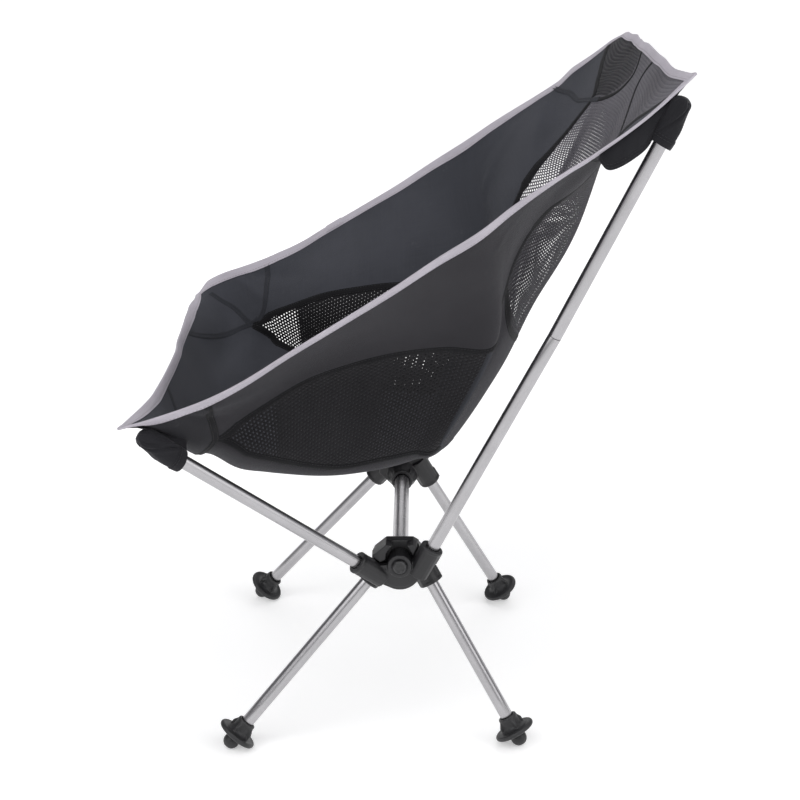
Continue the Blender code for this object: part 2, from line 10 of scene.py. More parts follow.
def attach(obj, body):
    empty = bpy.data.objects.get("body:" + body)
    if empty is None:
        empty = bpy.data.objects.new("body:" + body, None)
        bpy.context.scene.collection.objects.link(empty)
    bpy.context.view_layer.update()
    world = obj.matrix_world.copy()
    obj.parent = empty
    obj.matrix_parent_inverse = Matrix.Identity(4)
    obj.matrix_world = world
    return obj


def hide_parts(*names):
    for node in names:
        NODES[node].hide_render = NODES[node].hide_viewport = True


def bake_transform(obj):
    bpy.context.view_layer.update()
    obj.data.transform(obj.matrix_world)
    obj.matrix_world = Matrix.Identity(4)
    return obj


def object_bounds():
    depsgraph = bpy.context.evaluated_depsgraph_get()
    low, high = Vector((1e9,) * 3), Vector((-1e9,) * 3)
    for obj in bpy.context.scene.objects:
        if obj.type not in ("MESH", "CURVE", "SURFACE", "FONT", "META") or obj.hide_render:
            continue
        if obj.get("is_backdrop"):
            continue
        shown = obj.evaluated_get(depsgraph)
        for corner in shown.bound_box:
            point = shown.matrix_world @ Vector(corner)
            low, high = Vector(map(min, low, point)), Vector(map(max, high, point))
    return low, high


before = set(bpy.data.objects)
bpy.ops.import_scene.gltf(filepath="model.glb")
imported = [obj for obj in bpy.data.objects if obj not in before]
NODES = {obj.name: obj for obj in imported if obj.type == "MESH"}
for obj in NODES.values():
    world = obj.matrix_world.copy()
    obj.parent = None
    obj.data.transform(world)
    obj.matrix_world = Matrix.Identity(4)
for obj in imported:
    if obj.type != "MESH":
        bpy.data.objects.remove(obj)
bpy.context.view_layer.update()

# ---------------------------------------------------------------------------------
# the design's own numbers, in millimetres
# ---------------------------------------------------------------------------------
MM = 0.001
Y_SHIFT = -29.86
TUBE_R, TUBE_WALL = 6.35, 0.65
BAR_R = 8.0
PIVOT = (24.8, 190.2)
JOIN_X = 149.0
SOCKET_R, ARM_R, INSERT = 11.3, 10.8, 28.0
BAR_Z, BAR_Y, BAR_END, BAR_MOUTH = 173.0, 24.3, 127.0, 104.0
FOOT = {"front": (177.2, -141.8, 7.4), "rear": (170.1, 141.8, 7.4)}
SOCKET = {"front": (141.8, -7.7, 163.1), "rear": (138.4, 55.8, 160.2)}
ARM_FRONT = (166.0, -16.3, 193.8)
ARM_REAR = (162.0, 56.4, 207.6)
TIP_FRONT = (236.0, -202.7, 344.1)
BACK_JOINT = (184.6, 166.6, 424.0)
TIP_REAR = (205.0, 269.0, 637.6)
SIDES = ((1, "left"), (-1, "right"))

# sling stations, front edge to top edge: rim, shoulder seam, bottom seam, mid-bottom
# (x, y, z) and the centre line (y, z)
STATIONS = (
    ((242, -220, 357), (156, -211, 352), (104, -209, 350), (52, -208, 349), (-208, 348)),
    ((246, -193, 366), (204, -174, 330), (150, -175, 304), (76, -178, 300), (-179, 299)),
    ((243, -149, 381), (190, -139, 331), (180, -140, 315), (112, -140, 275), (-140, 268)),
    ((237, -112, 398), (176, -112, 346), (176, -104, 306), (108, -105, 265), (-105, 257)),
    ((236, -68, 426), (152, -64, 371), (148, -68, 287), (90, -66, 255), (-65, 249)),
    ((232, -22, 454), (138, -20, 383), (126, -32, 276), (80, -30, 253), (-28, 248)),
    ((228, 20, 480), (127, 25, 390), (113, 6, 278), (70, 8, 255), (10, 252)),
    ((226, 60, 507), (112, 68, 390), (101, 37, 281), (62, 41, 263), (43, 260)),
    ((226, 96, 530), (98, 113, 386), (92, 64, 286), (58, 75, 279), (79, 277)),
    ((219, 125, 551), (86, 120, 420), (66, 116, 363), (35, 121, 343), (123, 335)),
    ((216, 148, 566), (80, 136, 470), (60, 145, 432), (32, 155, 416), (160, 408)),
    ((214, 172, 581), (98, 162, 520), (66, 180, 498), (34, 194, 487), (201, 484)),
    ((215, 198, 598), (132, 192, 554), (88, 212, 561), (45, 221, 563), (225, 564)),
    ((215, 236, 626), (148, 229, 604), (100, 239, 611), (50, 244, 613), (246, 614)),
    ((204, 275, 661), (140, 271, 657), (94, 269, 656), (47, 268, 655), (268, 655)),
)
NS = len(STATIONS) - 1
U_TIP, U_HIP, U_LUMBAR, V_TIP = 1.85 / NS, 8.0 / NS, 9.5 / NS, 0.71
CLOTH = 0.9                   # shown thickness of one layer of cloth
rng = np.random.default_rng(7)


def point(p, side=1):
    return Vector((p[0] * side * MM, (p[1] + Y_SHIFT) * MM, p[2] * MM))


# ---------------------------------------------------------------------------------
# the sling surface, for whole arrays of (u, v)
# ---------------------------------------------------------------------------------
_T = np.array([[(0.0, c[0], c[1]), b, l, h, r] for r, h, l, b, c in STATIONS], float)
_P = np.concatenate([(2 * _T[0] - _T[1])[None], _T, (2 * _T[-1] - _T[-2])[None]])


def _rows(u):
    uc = np.clip(u, 0, 1)
    x = uc * NS
    k = np.minimum(x.astype(int), NS - 1)
    f = (x - k)[:, None, None]
    p0, p1, p2, p3 = _P[k], _P[k + 1], _P[k + 2], _P[k + 3]
    out = 0.5 * (2 * p1 + (p2 - p0) * f + (2 * p0 - 5 * p1 + 4 * p2 - p3) * f * f
                 + (3 * p1 - p0 - 3 * p2 + p3) * f ** 3)
    over = (u - uc)[:, None, None]
    slope = np.where(over < 0, (_T[1] - _T[0])[None], (_T[-1] - _T[-2])[None]) * NS
    return out + over * slope


def _base(u, v):
    """Smooth sling in mm, u and v flat arrays."""
    rows = _rows(u)
    flip = np.array([-1.0, 1.0, 1.0])
    ext = np.concatenate([(rows[:, 1] * flip)[:, None], rows,
                          (2 * rows[:, 4] - rows[:, 3])[:, None]], 1)
    va = np.abs(v)
    w = np.clip(va, 0, 1) * 4
    k = np.minimum(w.astype(int), 3)
    f = (w - k)[:, None]
    i = np.arange(len(u))
    p0, p1, p2, p3 = ext[i, k], ext[i, k + 1], ext[i, k + 2], ext[i, k + 3]

    def gap(a, b):
        return np.maximum(np.linalg.norm(b - a, axis=1), 1e-6)[:, None] ** 0.5

    t0 = 0.0
    t1 = gap(p0, p1)
    t2 = t1 + gap(p1, p2)
    t3 = t2 + gap(p2, p3)
    t = t1 + (t2 - t1) * f
    a1 = (t1 - t) / (t1 - t0) * p0 + (t - t0) / (t1 - t0) * p1
    a2 = (t2 - t) / (t2 - t1) * p1 + (t - t1) / (t2 - t1) * p2
    a3 = (t3 - t) / (t3 - t2) * p2 + (t - t2) / (t3 - t2) * p3
    b1 = (t2 - t) / (t2 - t0) * a1 + (t - t0) / (t2 - t0) * a2
    b2 = (t3 - t) / (t3 - t1) * a2 + (t - t1) / (t3 - t1) * a3
    p = (t2 - t) / (t2 - t1) * b1 + (t - t1) / (t2 - t1) * b2
    over = np.clip(va - 1, 0, None)[:, None]
    if over.any():
        p = p + over * 4 * (rows[:, 4] - rows[:, 3])
    p[:, 0] *= np.where(v >= 0, 1.0, -1.0)
    return p


def bump(x, lo, hi, soft):
    """1 between lo and hi, falling to 0 over soft on both sides."""
    a = np.clip((x - lo) / soft + 1, 0, 1)
    b = np.clip((hi - x) / soft + 1, 0, 1)
    return a * a * (3 - 2 * a) * b * b * (3 - 2 * b)


def smooth(x, lo, hi):
    t = np.clip((x - lo) / (hi - lo), 0, 1)
    return t * t * (3 - 2 * t)


def _fold(p, start, end, width, height):
    """A soft ridge of cloth between two points of the sling (mm), wide at the middle."""
    a, b = np.array(start, float), np.array(end, float)
    d = b - a
    length = np.linalg.norm(d)
    d = d / length
    r = p - a
    s = r @ d
    off = np.linalg.norm(r - s[:, None] * d, axis=1)
    t = np.clip(s / length, 0, 1)
    w = width * (0.35 + 0.65 * np.sin(math.pi * np.clip(t, 0.02, 0.98)))
    body = np.exp(-(off / w) ** 2)
    return height * body * smooth(s / length, -0.08, 0.12) * (1 - smooth(s / length, 0.72, 1.08))


FOLDS = (          # side, start, end, width, height (positive is into the seat)
    (1, (222, 212, 606), (190, 110, 505), 7, -2.4),
    (1, (222, 205, 590), (170, 120, 470), 9, 2.0),
    (1, (236, -150, 372), (176, -60, 370), 10, -1.8),
    (1, (240, -165, 366), (190, -118, 345), 6, 1.6),
    (-1, (-222, 212, 606), (-190, 110, 505), 8, -2.2),
    (-1, (-214, 190, 585), (-160, 100, 470), 10, 2.2),
    (-1, (-236, -150, 372), (-170, -40, 380), 11, -2.0),
    (-1, (-240, -165, 366), (-190, -118, 345), 6, 1.8),
    (0, (-150, 210, 565), (-40, 160, 430), 12, 2.0),
    (0, (150, 210, 565), (44, 158, 430), 12, 1.8),
    (0, (-170, -150, 320), (-70, -110, 268), 12, 1.5),
    (0, (168, -150, 320), (66, -112, 268), 12, 1.5),
)


def _ripple(p, u, v):
    """Unevenness of stretched cloth, mm along the normal."""
    x, y, z = p[:, 0], p[:, 1], p[:, 2]
    h = (0.55 * np.sin(x / 31 + 0.6 * np.sin(y / 47) + 0.4)
         + 0.45 * np.sin(y / 38 - z / 55 + 1.3)
         + 0.35 * np.sin((x + y + z) / 23 + 2.1)
         + 0.22 * np.sin((y - 0.7 * z) / 13 + x / 40 + 0.5))
    # pulled taut along the rims and at the seams
    calm = (1 - 0.75 * smooth(np.abs(v), 0.90, 1.0)) * smooth(u, 0.0, 0.06) * (1 - smooth(u, 0.95, 1.0))
    h = h * calm
    for side, a, b, w, height in FOLDS:
        use = np.ones(len(x)) if side == 0 else (x * side > 0).astype(float)
        h = h + _fold(p, a, b, w, height) * use
    return h * (1 - 0.9 * smooth(np.abs(v), 0.955, 1.0)) * smooth(u, -0.002, 0.03) * (1 - smooth(u, 0.97, 1.0))


def _corners(p, u, v):
    """The four corners don't hang alike: small shifts of the cloth round each pole tip."""
    near_top = smooth(u, 0.90, 1.0) * smooth(v, 0.55, 1.0)
    far_top = smooth(u, 0.86, 1.0) * smooth(-v, 0.45, 1.0)
    near_front = (1 - smooth(u, 0.0, 0.10)) * smooth(v, 0.6, 1.0)
    far_front = (1 - smooth(u, 0.0, 0.065)) * smooth(-v, 0.80, 1.0)
    far_lift = bump(u, 0.105, 0.20, 0.07) * smooth(-v, 0.55, 1.0)
    far_edge = (1 - smooth(u, 0.0, 0.11)) * bump(-v, 0.30, 0.66, 0.22)
    far_round = bump(u, 0.89, 0.965, 0.04) * smooth(-v, 0.6, 1.0)
    crest = smooth(u, 0.95, 1.0) * (4.6 * bump(-v, 0.66, 0.88, 0.12) + 4.8 * bump(v, -0.12, 0.42, 0.34))
    return (near_top[:, None] * np.array([0.0, 4.0, 1.0])
            + far_top[:, None] * np.array([2.0, -9.0, -11.0])
            + near_front[:, None] * np.array([0.0, -4.0, -1.5])
            + far_front[:, None] * np.array([2.0, 6.6, -7.4])
            + far_lift[:, None] * np.array([0.0, 0.0, 4.4])
            + far_edge[:, None] * np.array([0.0, -2.7, 0.0])
            + far_round[:, None] * np.array([0.0, 0.0, 4.6])
            + crest[:, None] * np.array([0.0, 0.0, 1.0]))


def surf_mm(u, v):
    u, v = np.broadcast_arrays(np.asarray(u, float), np.asarray(v, float))
    shape = u.shape
    uf, vf = u.ravel().copy(), v.ravel().copy()
    e = 2e-3
    p = _base(uf, vf)
    du = _base(uf + e, vf) - _base(uf - e, vf)
    vs = np.where(vf >= 0, 1.0, -1.0)
    dv = (_base(uf, vf + e) - _base(uf, vf - e))
    n = np.cross(dv, du)
    n /= np.maximum(np.linalg.norm(n, axis=1), 1e-9)[:, None]
    p = p + n * _ripple(p, uf, vf)[:, None] + _corners(p, uf, vf)
    return p.reshape(*shape, 3)


def surf(u, v):
    """Middle surface of the cloth in metres, in the row frame."""
    p = surf_mm(u, v)
    p[..., 1] += Y_SHIFT
    return p * MM


def frame_at(u, v):
    """Point, d/du, d/dv and the unit normal that points into the seat."""
    e = 1.5e-3
    p = surf(u, v)
    su = (surf(np.asarray(u) + e, v) - surf(np.asarray(u) - e, v)) / (2 * e)
    sv = (surf(u, np.asarray(v) + e) - surf(u, np.asarray(v) - e)) / (2 * e)
    n = np.cross(sv, su)
    n /= np.maximum(np.linalg.norm(n, axis=-1, keepdims=True), 1e-12)
    return p, su, sv, n


def seam_low(u):
    u = np.asarray(u, float)
    a = 0.5 + (V_TIP - 0.5) * (np.clip(u, 0, U_TIP) / U_TIP) ** 1.3
    f = np.clip((u - U_TIP) * NS / 0.8, 0, 1)
    return np.where(u <= U_TIP, a, V_TIP + (0.5 - V_TIP) * f)


U_MESH_END = 0.9655            # where the mesh reaches the rim
SEAM_TOP = ((0.70, 0.750), (0.754, 0.752), (0.80, 0.735), (0.850, 0.700), (0.877, 0.664), (0.893, 0.632),
            (0.905, 0.608), (0.915, 0.616), (0.927, 0.660), (0.9446, 0.762), (0.956, 0.892), (U_MESH_END, 0.985))


def seam_high(u):
    u = np.asarray(u, float)
    f = np.clip((u - U_TIP) * NS / 0.8, 0, 1)
    upper = np.interp(u, [a for a, b in SEAM_TOP], [b for a, b in SEAM_TOP])
    return np.where(u <= U_TIP, seam_low(u), np.where(u < SEAM_TOP[0][0], V_TIP + (0.75 - V_TIP) * f, upper))


def mesh_high(u):
    return np.where(np.asarray(u) >= U_MESH_END, 0.985, seam_high(u))


def walk(u, v, side_mm, closed=False):
    """Shift a path of (u, v) sideways on the cloth; positive is to the left of its run,
    seen from inside the seat."""
    p, su, sv, n = frame_at(u, v)
    t = np.gradient(p, axis=0)
    if closed:
        t = np.roll(p, -1, 0) - np.roll(p, 1, 0)
    t /= np.linalg.norm(t, axis=1, keepdims=True)
    b = np.cross(n, t)
    w = np.asarray(side_mm, float) * MM
    w = np.broadcast_to(w, (len(p),))[:, None]
    guu, guv, gvv = (su * su).sum(1), (su * sv).sum(1), (sv * sv).sum(1)
    bu, bv = (su * b * w).sum(1), (sv * b * w).sum(1)
    det = guu * gvv - guv ** 2
    return u + (bu * gvv - bv * guv) / det, v + (bv * guu - bu * guv) / det


def resample(u, v, step_mm):
    """Evenly spaced points along a path of (u, v)."""
    p = surf_mm(u, v)
    s = np.concatenate([[0], np.cumsum(np.linalg.norm(np.diff(p, axis=0), axis=1))])
    n = max(int(round(s[-1] / step_mm)), 2)
    q = np.linspace(0, s[-1], n + 1)
    return np.interp(q, s, u), np.interp(q, s, v), q


# ---------------------------------------------------------------------------------
# mesh helpers
# ---------------------------------------------------------------------------------
def make_mesh(name, verts, quads, uv=None, mat=None, auto=None):
    verts = np.asarray(verts, np.float32).reshape(-1, 3)
    quads = np.asarray(quads, np.int32).reshape(-1, 4)
    me = bpy.data.meshes.new(name)
    me.vertices.add(len(verts))
    me.vertices.foreach_set("co", verts.ravel())
    me.loops.add(quads.size)
    me.loops.foreach_set("vertex_index", quads.ravel())
    me.polygons.add(len(quads))
    me.polygons.foreach_set("loop_start", np.arange(0, quads.size, 4, dtype=np.int32))
    me.update(calc_edges=True)
    if uv is not None:
        layer = me.uv_layers.new(name="Cloth")
        layer.data.foreach_set("uv", np.asarray(uv, np.float32).reshape(-1, 2)[quads.ravel()].ravel())
    me.validate(clean_customdata=False)
    me.shade_smooth()
    if auto:
        me.set_sharp_from_angle(angle=math.radians(auto))
    obj = bpy.data.objects.new(name, me)
    bpy.context.scene.collection.objects.link(obj)
    if mat is not None:
        me.materials.append(mat)
    return obj


def grid_quads(nr, nc, start=0, flip=False, wrap_r=False, wrap_c=False):
    r = np.arange(nr if wrap_r else nr - 1)
    c = np.arange(nc if wrap_c else nc - 1)
    r, c = np.meshgrid(r, c, indexing="ij")
    r2, c2 = (r + 1) % nr, (c + 1) % nc
    q = np.stack([r * nc + c, r * nc + c2, r2 * nc + c2, r2 * nc + c], -1).reshape(-1, 4)
    if flip:
        q = q[:, ::-1]
    return q + start


def shell_mesh(name, U, V, thick, mat, bulge=None, uv_turn=False):
    """Closed two-sided panel from a grid of (u, v)."""
    p, su, sv, n = frame_at(U, V)
    nr, nc = U.shape
    if bulge is not None:
        p = p + n * (bulge * MM)[..., None]
    h = np.asarray(thick) * 0.5 * MM
    h = np.broadcast_to(h, U.shape)[..., None]
    top, low = p + n * h, p - n * h
    verts = np.concatenate([top.reshape(-1, 3), low.reshape(-1, 3)])
    m = nr * nc
    quads = [grid_quads(nr, nc), grid_quads(nr, nc, m, True)]
    a = np.arange(nc - 1)
    quads.append(np.stack([a + 1, a, a + m, a + 1 + m], -1))
    b = a + (nr - 1) * nc
    quads.append(np.stack([b, b + 1, b + 1 + m, b + m], -1))
    r = np.arange(nr - 1) * nc
    quads.append(np.stack([r, r + nc, r + nc + m, r + m], -1))
    r = r + nc - 1
    quads.append(np.stack([r + nc, r, r + m, r + nc + m], -1))
    mid = nc // 2
    x = np.concatenate([np.zeros((nr, 1)), np.cumsum(np.linalg.norm(np.diff(p, axis=1), axis=2), 1)], 1)
    x = x - x[:, mid:mid + 1]
    y = np.concatenate([[0], np.cumsum(np.linalg.norm(np.diff(p[:, mid], axis=0), axis=1))])
    uv = np.stack([x, np.broadcast_to(y[:, None], x.shape)], -1).reshape(-1, 2)
    area = float(np.linalg.norm(np.cross(np.diff(p, axis=1)[:-1], np.diff(p, axis=0)[:, :-1]), axis=2).sum())
    obj = make_mesh(name, verts, np.concatenate(quads), np.concatenate([uv, uv]), mat, auto=60)
    if mat is MAT_CLOTH:                 # the outside faces take a darker, warmer copy of the cloth: the darkness is painted shade, the warmer tint is the cloth's own
        obj.data.materials.append(MAT_CLOTH_OUT_PAINTED_SHADE)
        index = np.zeros(len(obj.data.polygons), np.int32)
        one = (nr - 1) * (nc - 1)
        index[one:2 * one] = 1
        obj.data.polygons.foreach_set("material_index", index)
    return obj, area, (float(x[:, -1].max() - x[:, 0].min()), float(y[-1]))


def strip(name, u, v, width, mat, crown=0.55, base=0.40, step=2.0, ridge=0.0, cols=7, pucker=0.0, under=0.0,
          mat_out=None):
    """A raised seam: a band of cloth that follows (u, v) and shows on both faces; under is
    how much further it stands out on the outside."""
    u, v, s = resample(u, v, step)
    x = np.linspace(-width / 2, width / 2, cols)
    prof = base + crown * (1 - (2 * np.abs(x) / width) ** 4) + ridge * np.exp(-(x / (width * 0.16)) ** 2)
    top, low = [], []
    for xi, hi in zip(x, prof):
        uu, vv = walk(u, v, xi)
        p, su, sv, n = frame_at(uu, vv)
        h = hi + pucker * np.sin(2 * math.pi * s / 3.4 + (0 if xi < 0 else 1.2)) * (abs(xi) > width * 0.2)
        h = np.broadcast_to(h, (len(u),))[:, None] * MM
        top.append(p + n * h)
        out = under * (1 - smooth(np.abs(vv), 0.905, 0.945)) * smooth(uu, 0.016, 0.040)
        low.append(p - n * (h + out[:, None] * MM))
    loop = top + low[::-1]
    ring = np.stack(loop, 1)
    nr, nc = ring.shape[:2]
    quads = [grid_quads(nr, nc, wrap_c=True, flip=True)]
    for r, turn in ((0, False), (nr - 1, True)):
        for j in range(cols - 1):
            a, b = j, j + 1
            q = [a, b, nc - 1 - b, nc - 1 - a]
            quads.append(np.array([[r * nc + k for k in (q if not turn else q[::-1])]]))
    xs = np.concatenate([x, x[::-1]])
    uv = np.stack([np.broadcast_to(xs[None] * MM, (nr, nc)),
                   np.broadcast_to(s[:, None] * MM, (nr, nc))], -1).reshape(-1, 2)
    quads = np.concatenate(quads)
    obj = make_mesh(name, ring.reshape(-1, 3), quads, uv, mat, auto=70)
    if mat_out is not None:
        obj.data.materials.append(mat_out)
        obj.data.polygons.foreach_set("material_index", (quads % nc >= cols).all(1).astype(np.int32))
    area = float(s[-1] * width * 1e-6)
    return obj, area, (width * MM, float(s[-1]) * MM)


CAPSULE = []
for _z, _r in ((-1.0, 0.30), (-0.82, 0.86), (0.0, 1.0), (0.82, 0.86), (1.0, 0.30)):
    for _k in range(6):
        _a = math.pi * _k / 3
        CAPSULE.append((_z, _r * math.cos(_a), _r * math.sin(_a)))
CAPSULE = np.array(CAPSULE)
CAPSULE_Q = np.concatenate([grid_quads(5, 6, wrap_c=True),
                            np.array([[0, 3, 2, 1], [0, 5, 4, 3], [24, 25, 26, 27], [24, 27, 28, 29]])])


def beads(name, centres, along, up, half, radius, mat, lift=None):
    """Many small thread stitches as one mesh; each lies along `along`, bowed off the cloth."""
    centres, along, up = (np.asarray(a, float) for a in (centres, along, up))
    along = along / np.linalg.norm(along, axis=1, keepdims=True)
    across = np.cross(up, along)
    across /= np.maximum(np.linalg.norm(across, axis=1, keepdims=True), 1e-12)
    up2 = np.cross(along, across)
    z, a, b = CAPSULE.T
    bow = (1 - z ** 2) * radius * 0.5 - radius * 0.35
    v = (centres[:, None] + along[:, None] * (z * half)[None, :, None]
         + across[:, None] * (a * radius)[None, :, None]
         + up2[:, None] * (b * radius + bow)[None, :, None])
    n = len(CAPSULE)
    q = (CAPSULE_Q[None] + (np.arange(len(centres)) * n)[:, None, None]).reshape(-1, 4)
    uv = np.stack([np.broadcast_to(a * radius, v.shape[:2]), np.broadcast_to(z * half, v.shape[:2])
                   + np.arange(len(centres))[:, None] * 0.004], -1)
    return make_mesh(name, v.reshape(-1, 3), q, uv.reshape(-1, 2), mat)


def stitch_rows(rows, lift=0.55, pitch=3.3, length=2.5):
    """Frames of stitches for rows of (u, v, face): face +1 inside, -1 outside."""
    cs, al, up = [], [], []
    for u, v, face, height in rows:
        uu, vv, s = resample(u, v, pitch)
        um, vm = (uu[1:] + uu[:-1]) / 2, (vv[1:] + vv[:-1]) / 2
        p, su, sv, n = frame_at(um, vm)
        t = surf(uu[1:], vv[1:]) - surf(uu[:-1], vv[:-1])
        cs.append(p + n * face * (height * MM))
        al.append(t)
        up.append(n * face)
    return np.concatenate(cs), np.concatenate(al), np.concatenate(up)


# ---------------------------------------------------------------------------------
# materials
# ---------------------------------------------------------------------------------
class Shade:
    """Small helper to write node materials."""

    def __init__(self, name, colour, rough, metal=0.0, **sockets):
        self.mat = bpy.data.materials.new(name)
        self.mat.use_nodes = True
        self.nt = self.mat.node_tree
        self.bsdf = next(n for n in self.nt.nodes if n.type == "BSDF_PRINCIPLED")
        self.set("Base Color", (*colour, 1.0))
        self.set("Roughness", rough)
        self.set("Metallic", metal)
        for key, value in sockets.items():
            self.set(key.replace("_", " "), value)

    def set(self, name, value):
        self.bsdf.inputs[name].default_value = value

    def node(self, kind, **props):
        n = self.nt.nodes.new(kind)
        for k, v in props.items():
            setattr(n, k, v)
        return n

    def link(self, a, b):
        self.nt.links.new(a, b)

    def math(self, op, a, b=None, clamp=False):
        n = self.node("ShaderNodeMath", operation=op, use_clamp=clamp)
        for i, x in enumerate((a, b)):
            if x is None:
                continue
            if isinstance(x, (int, float)):
                n.inputs[i].default_value = x
            else:
                self.link(x, n.inputs[i])
        return n.outputs[0]

    def uv(self):
        n = self.node("ShaderNodeUVMap", uv_map="Cloth")
        return n.outputs[0]

    def place(self):
        return self.node("ShaderNodeTexCoord").outputs["Object"]

    def xyz(self, vector):
        n = self.node("ShaderNodeSeparateXYZ")
        self.link(vector, n.inputs[0])
        return n.outputs[0], n.outputs[1], n.outputs[2]

    def scaled(self, vector, scale):
        n = self.node("ShaderNodeMapping")
        self.link(vector, n.inputs[0])
        n.inputs["Scale"].default_value = scale
        return n.outputs[0]

    def noise(self, vector, scale, detail=3.0, rough=0.55):
        n = self.node("ShaderNodeTexNoise")
        self.link(vector, n.inputs["Vector"])
        n.inputs["Scale"].default_value = scale
        n.inputs["Detail"].default_value = detail
        n.inputs["Roughness"].default_value = rough
        return n.outputs[0]

    def ramp(self, fac, lo, hi, a=0.0, b=1.0):
        n = self.node("ShaderNodeMapRange")
        self.link(fac, n.inputs["Value"])
        n.inputs["From Min"].default_value = lo
        n.inputs["From Max"].default_value = hi
        n.inputs["To Min"].default_value = a
        n.inputs["To Max"].default_value = b
        return n.outputs[0]

    def mix(self, fac, a, b):
        n = self.node("ShaderNodeMix", data_type="RGBA")
        self.link(fac, n.inputs[0]) if not isinstance(fac, (int, float)) else setattr(n.inputs[0], "default_value", fac)
        for x, i in ((a, 6), (b, 7)):
            if isinstance(x, tuple):
                n.inputs[i].default_value = (*x, 1.0)
            else:
                self.link(x, n.inputs[i])
        return n.outputs[2]

    def bump(self, height, distance, strength=1.0, normal=None):
        n = self.node("ShaderNodeBump")
        n.inputs["Strength"].default_value = strength
        n.inputs["Distance"].default_value = distance
        self.link(height, n.inputs["Height"])
        if normal is not None:
            self.link(normal, n.inputs["Normal"])
        return n.outputs[0]

    def out(self, colour=None, rough=None, normal=None):
        if colour is not None:
            self.link(colour, self.bsdf.inputs["Base Color"])
        if rough is not None:
            self.link(rough, self.bsdf.inputs["Roughness"])
        if normal is not None:
            self.link(normal, self.bsdf.inputs["Normal"])
        return self.mat

    def weave(self, vector, pitch):
        """Height of a plain weave: warp and weft threads that pass over each other."""
        x, y, _ = self.xyz(self.scaled(vector, (math.pi / pitch,) * 3))
        sx, sy = self.math("SINE", x), self.math("SINE", y)
        over = self.math("GREATER_THAN", self.math("MULTIPLY", sx, sy), 0.0)
        a, b = self.math("ABSOLUTE", sx), self.math("ABSOLUTE", sy)
        one = self.math("SUBTRACT", 1.0, over)
        return self.math("ADD", self.math("MULTIPLY", a, over), self.math("MULTIPLY", b, one))


def cloth_material(name, dark, light, pitch=0.0009, rough=0.82, sheen=0.10):
    s = Shade(name, dark, rough, 0.0, Sheen_Weight=sheen, Sheen_Roughness=0.45,
              Specular_IOR_Level=0.13)
    s.bsdf.inputs["Sheen Tint"].default_value = (0.80, 0.80, 0.86, 1.0)
    uv, place = s.uv(), s.place()
    weave = s.weave(uv, pitch)
    warp = s.noise(s.scaled(uv, (900.0, 14.0, 1.0)), 1.0, 2.0)
    weft = s.noise(s.scaled(uv, (16.0, 800.0, 1.0)), 1.0, 2.0)
    slub = s.math("ADD", s.math("MULTIPLY", warp, 0.5), s.math("MULTIPLY", weft, 0.5))
    cloud = s.noise(place, 9.0, 4.0)
    dust = s.noise(place, 60.0, 3.0, 0.7)
    tone = s.math("ADD", s.math("MULTIPLY", s.ramp(slub, 0.30, 0.70), 0.34),
                  s.math("MULTIPLY", s.ramp(cloud, 0.35, 0.65), 0.36))
    tone = s.math("ADD", tone, s.math("MULTIPLY", weave, 0.30), clamp=True)
    colour = s.mix(tone, dark, light)
    speck = s.ramp(dust, 0.66, 0.80, 0.0, 0.10)
    colour = s.mix(speck, colour, (0.20, 0.20, 0.21))
    r = s.ramp(slub, 0.3, 0.7, rough - 0.08, rough + 0.08)
    normal = s.bump(weave, 0.00022, 0.55)
    normal = s.bump(slub, 0.00025, 0.35, normal)
    normal = s.bump(cloud, 0.0012, 0.25, normal)
    return s.out(colour, r, normal)


def knit_material(name, dark, light):
    s = Shade(name, dark, 0.74, 0.0, Sheen_Weight=0.08, Sheen_Roughness=0.4,
              Specular_IOR_Level=0.22)
    uv, place = s.uv(), s.place()
    thread = s.weave(uv, 0.0007)
    cloud = s.noise(place, 14.0, 3.0)
    fuzz = s.noise(place, 900.0, 2.0)
    tone = s.math("ADD", s.math("MULTIPLY", thread, 0.45), s.math("MULTIPLY", s.ramp(cloud, 0.3, 0.7), 0.45),
                  clamp=True)
    normal = s.bump(thread, 0.0002, 0.6)
    normal = s.bump(fuzz, 0.0001, 0.4, normal)
    return s.out(s.mix(tone, dark, light), s.ramp(fuzz, 0.3, 0.7, 0.68, 0.86), normal)


def tape_material(name, dark, light, rough=0.74, pitch=0.0013, sheen=0.08, spec=0.35):
    """Grosgrain or twill tape: fine diagonal ribs, a woven edge and light soiling."""
    s = Shade(name, dark, rough, 0.0, Sheen_Weight=sheen, Sheen_Roughness=0.4,
              Specular_IOR_Level=spec)
    uv, place = s.uv(), s.place()
    x, y, _ = s.xyz(uv)
    ribs = s.math("SINE", s.math("MULTIPLY", s.math("ADD", x, y), 2 * math.pi / pitch))
    warp = s.noise(s.scaled(uv, (1500.0, 60.0, 1.0)), 1.0, 2.0)
    cloud = s.noise(place, 22.0, 4.0)
    tone = s.math("ADD", s.math("MULTIPLY", s.ramp(ribs, -1.0, 1.0), 0.35),
                  s.math("MULTIPLY", s.ramp(warp, 0.3, 0.7), 0.35))
    tone = s.math("ADD", tone, s.math("MULTIPLY", s.ramp(cloud, 0.32, 0.68), 0.30), clamp=True)
    normal = s.bump(ribs, 0.00022, 0.55)
    normal = s.bump(warp, 0.00016, 0.5, normal)
    return s.out(s.mix(tone, dark, light), s.ramp(warp, 0.3, 0.7, rough - 0.07, rough + 0.08), normal)


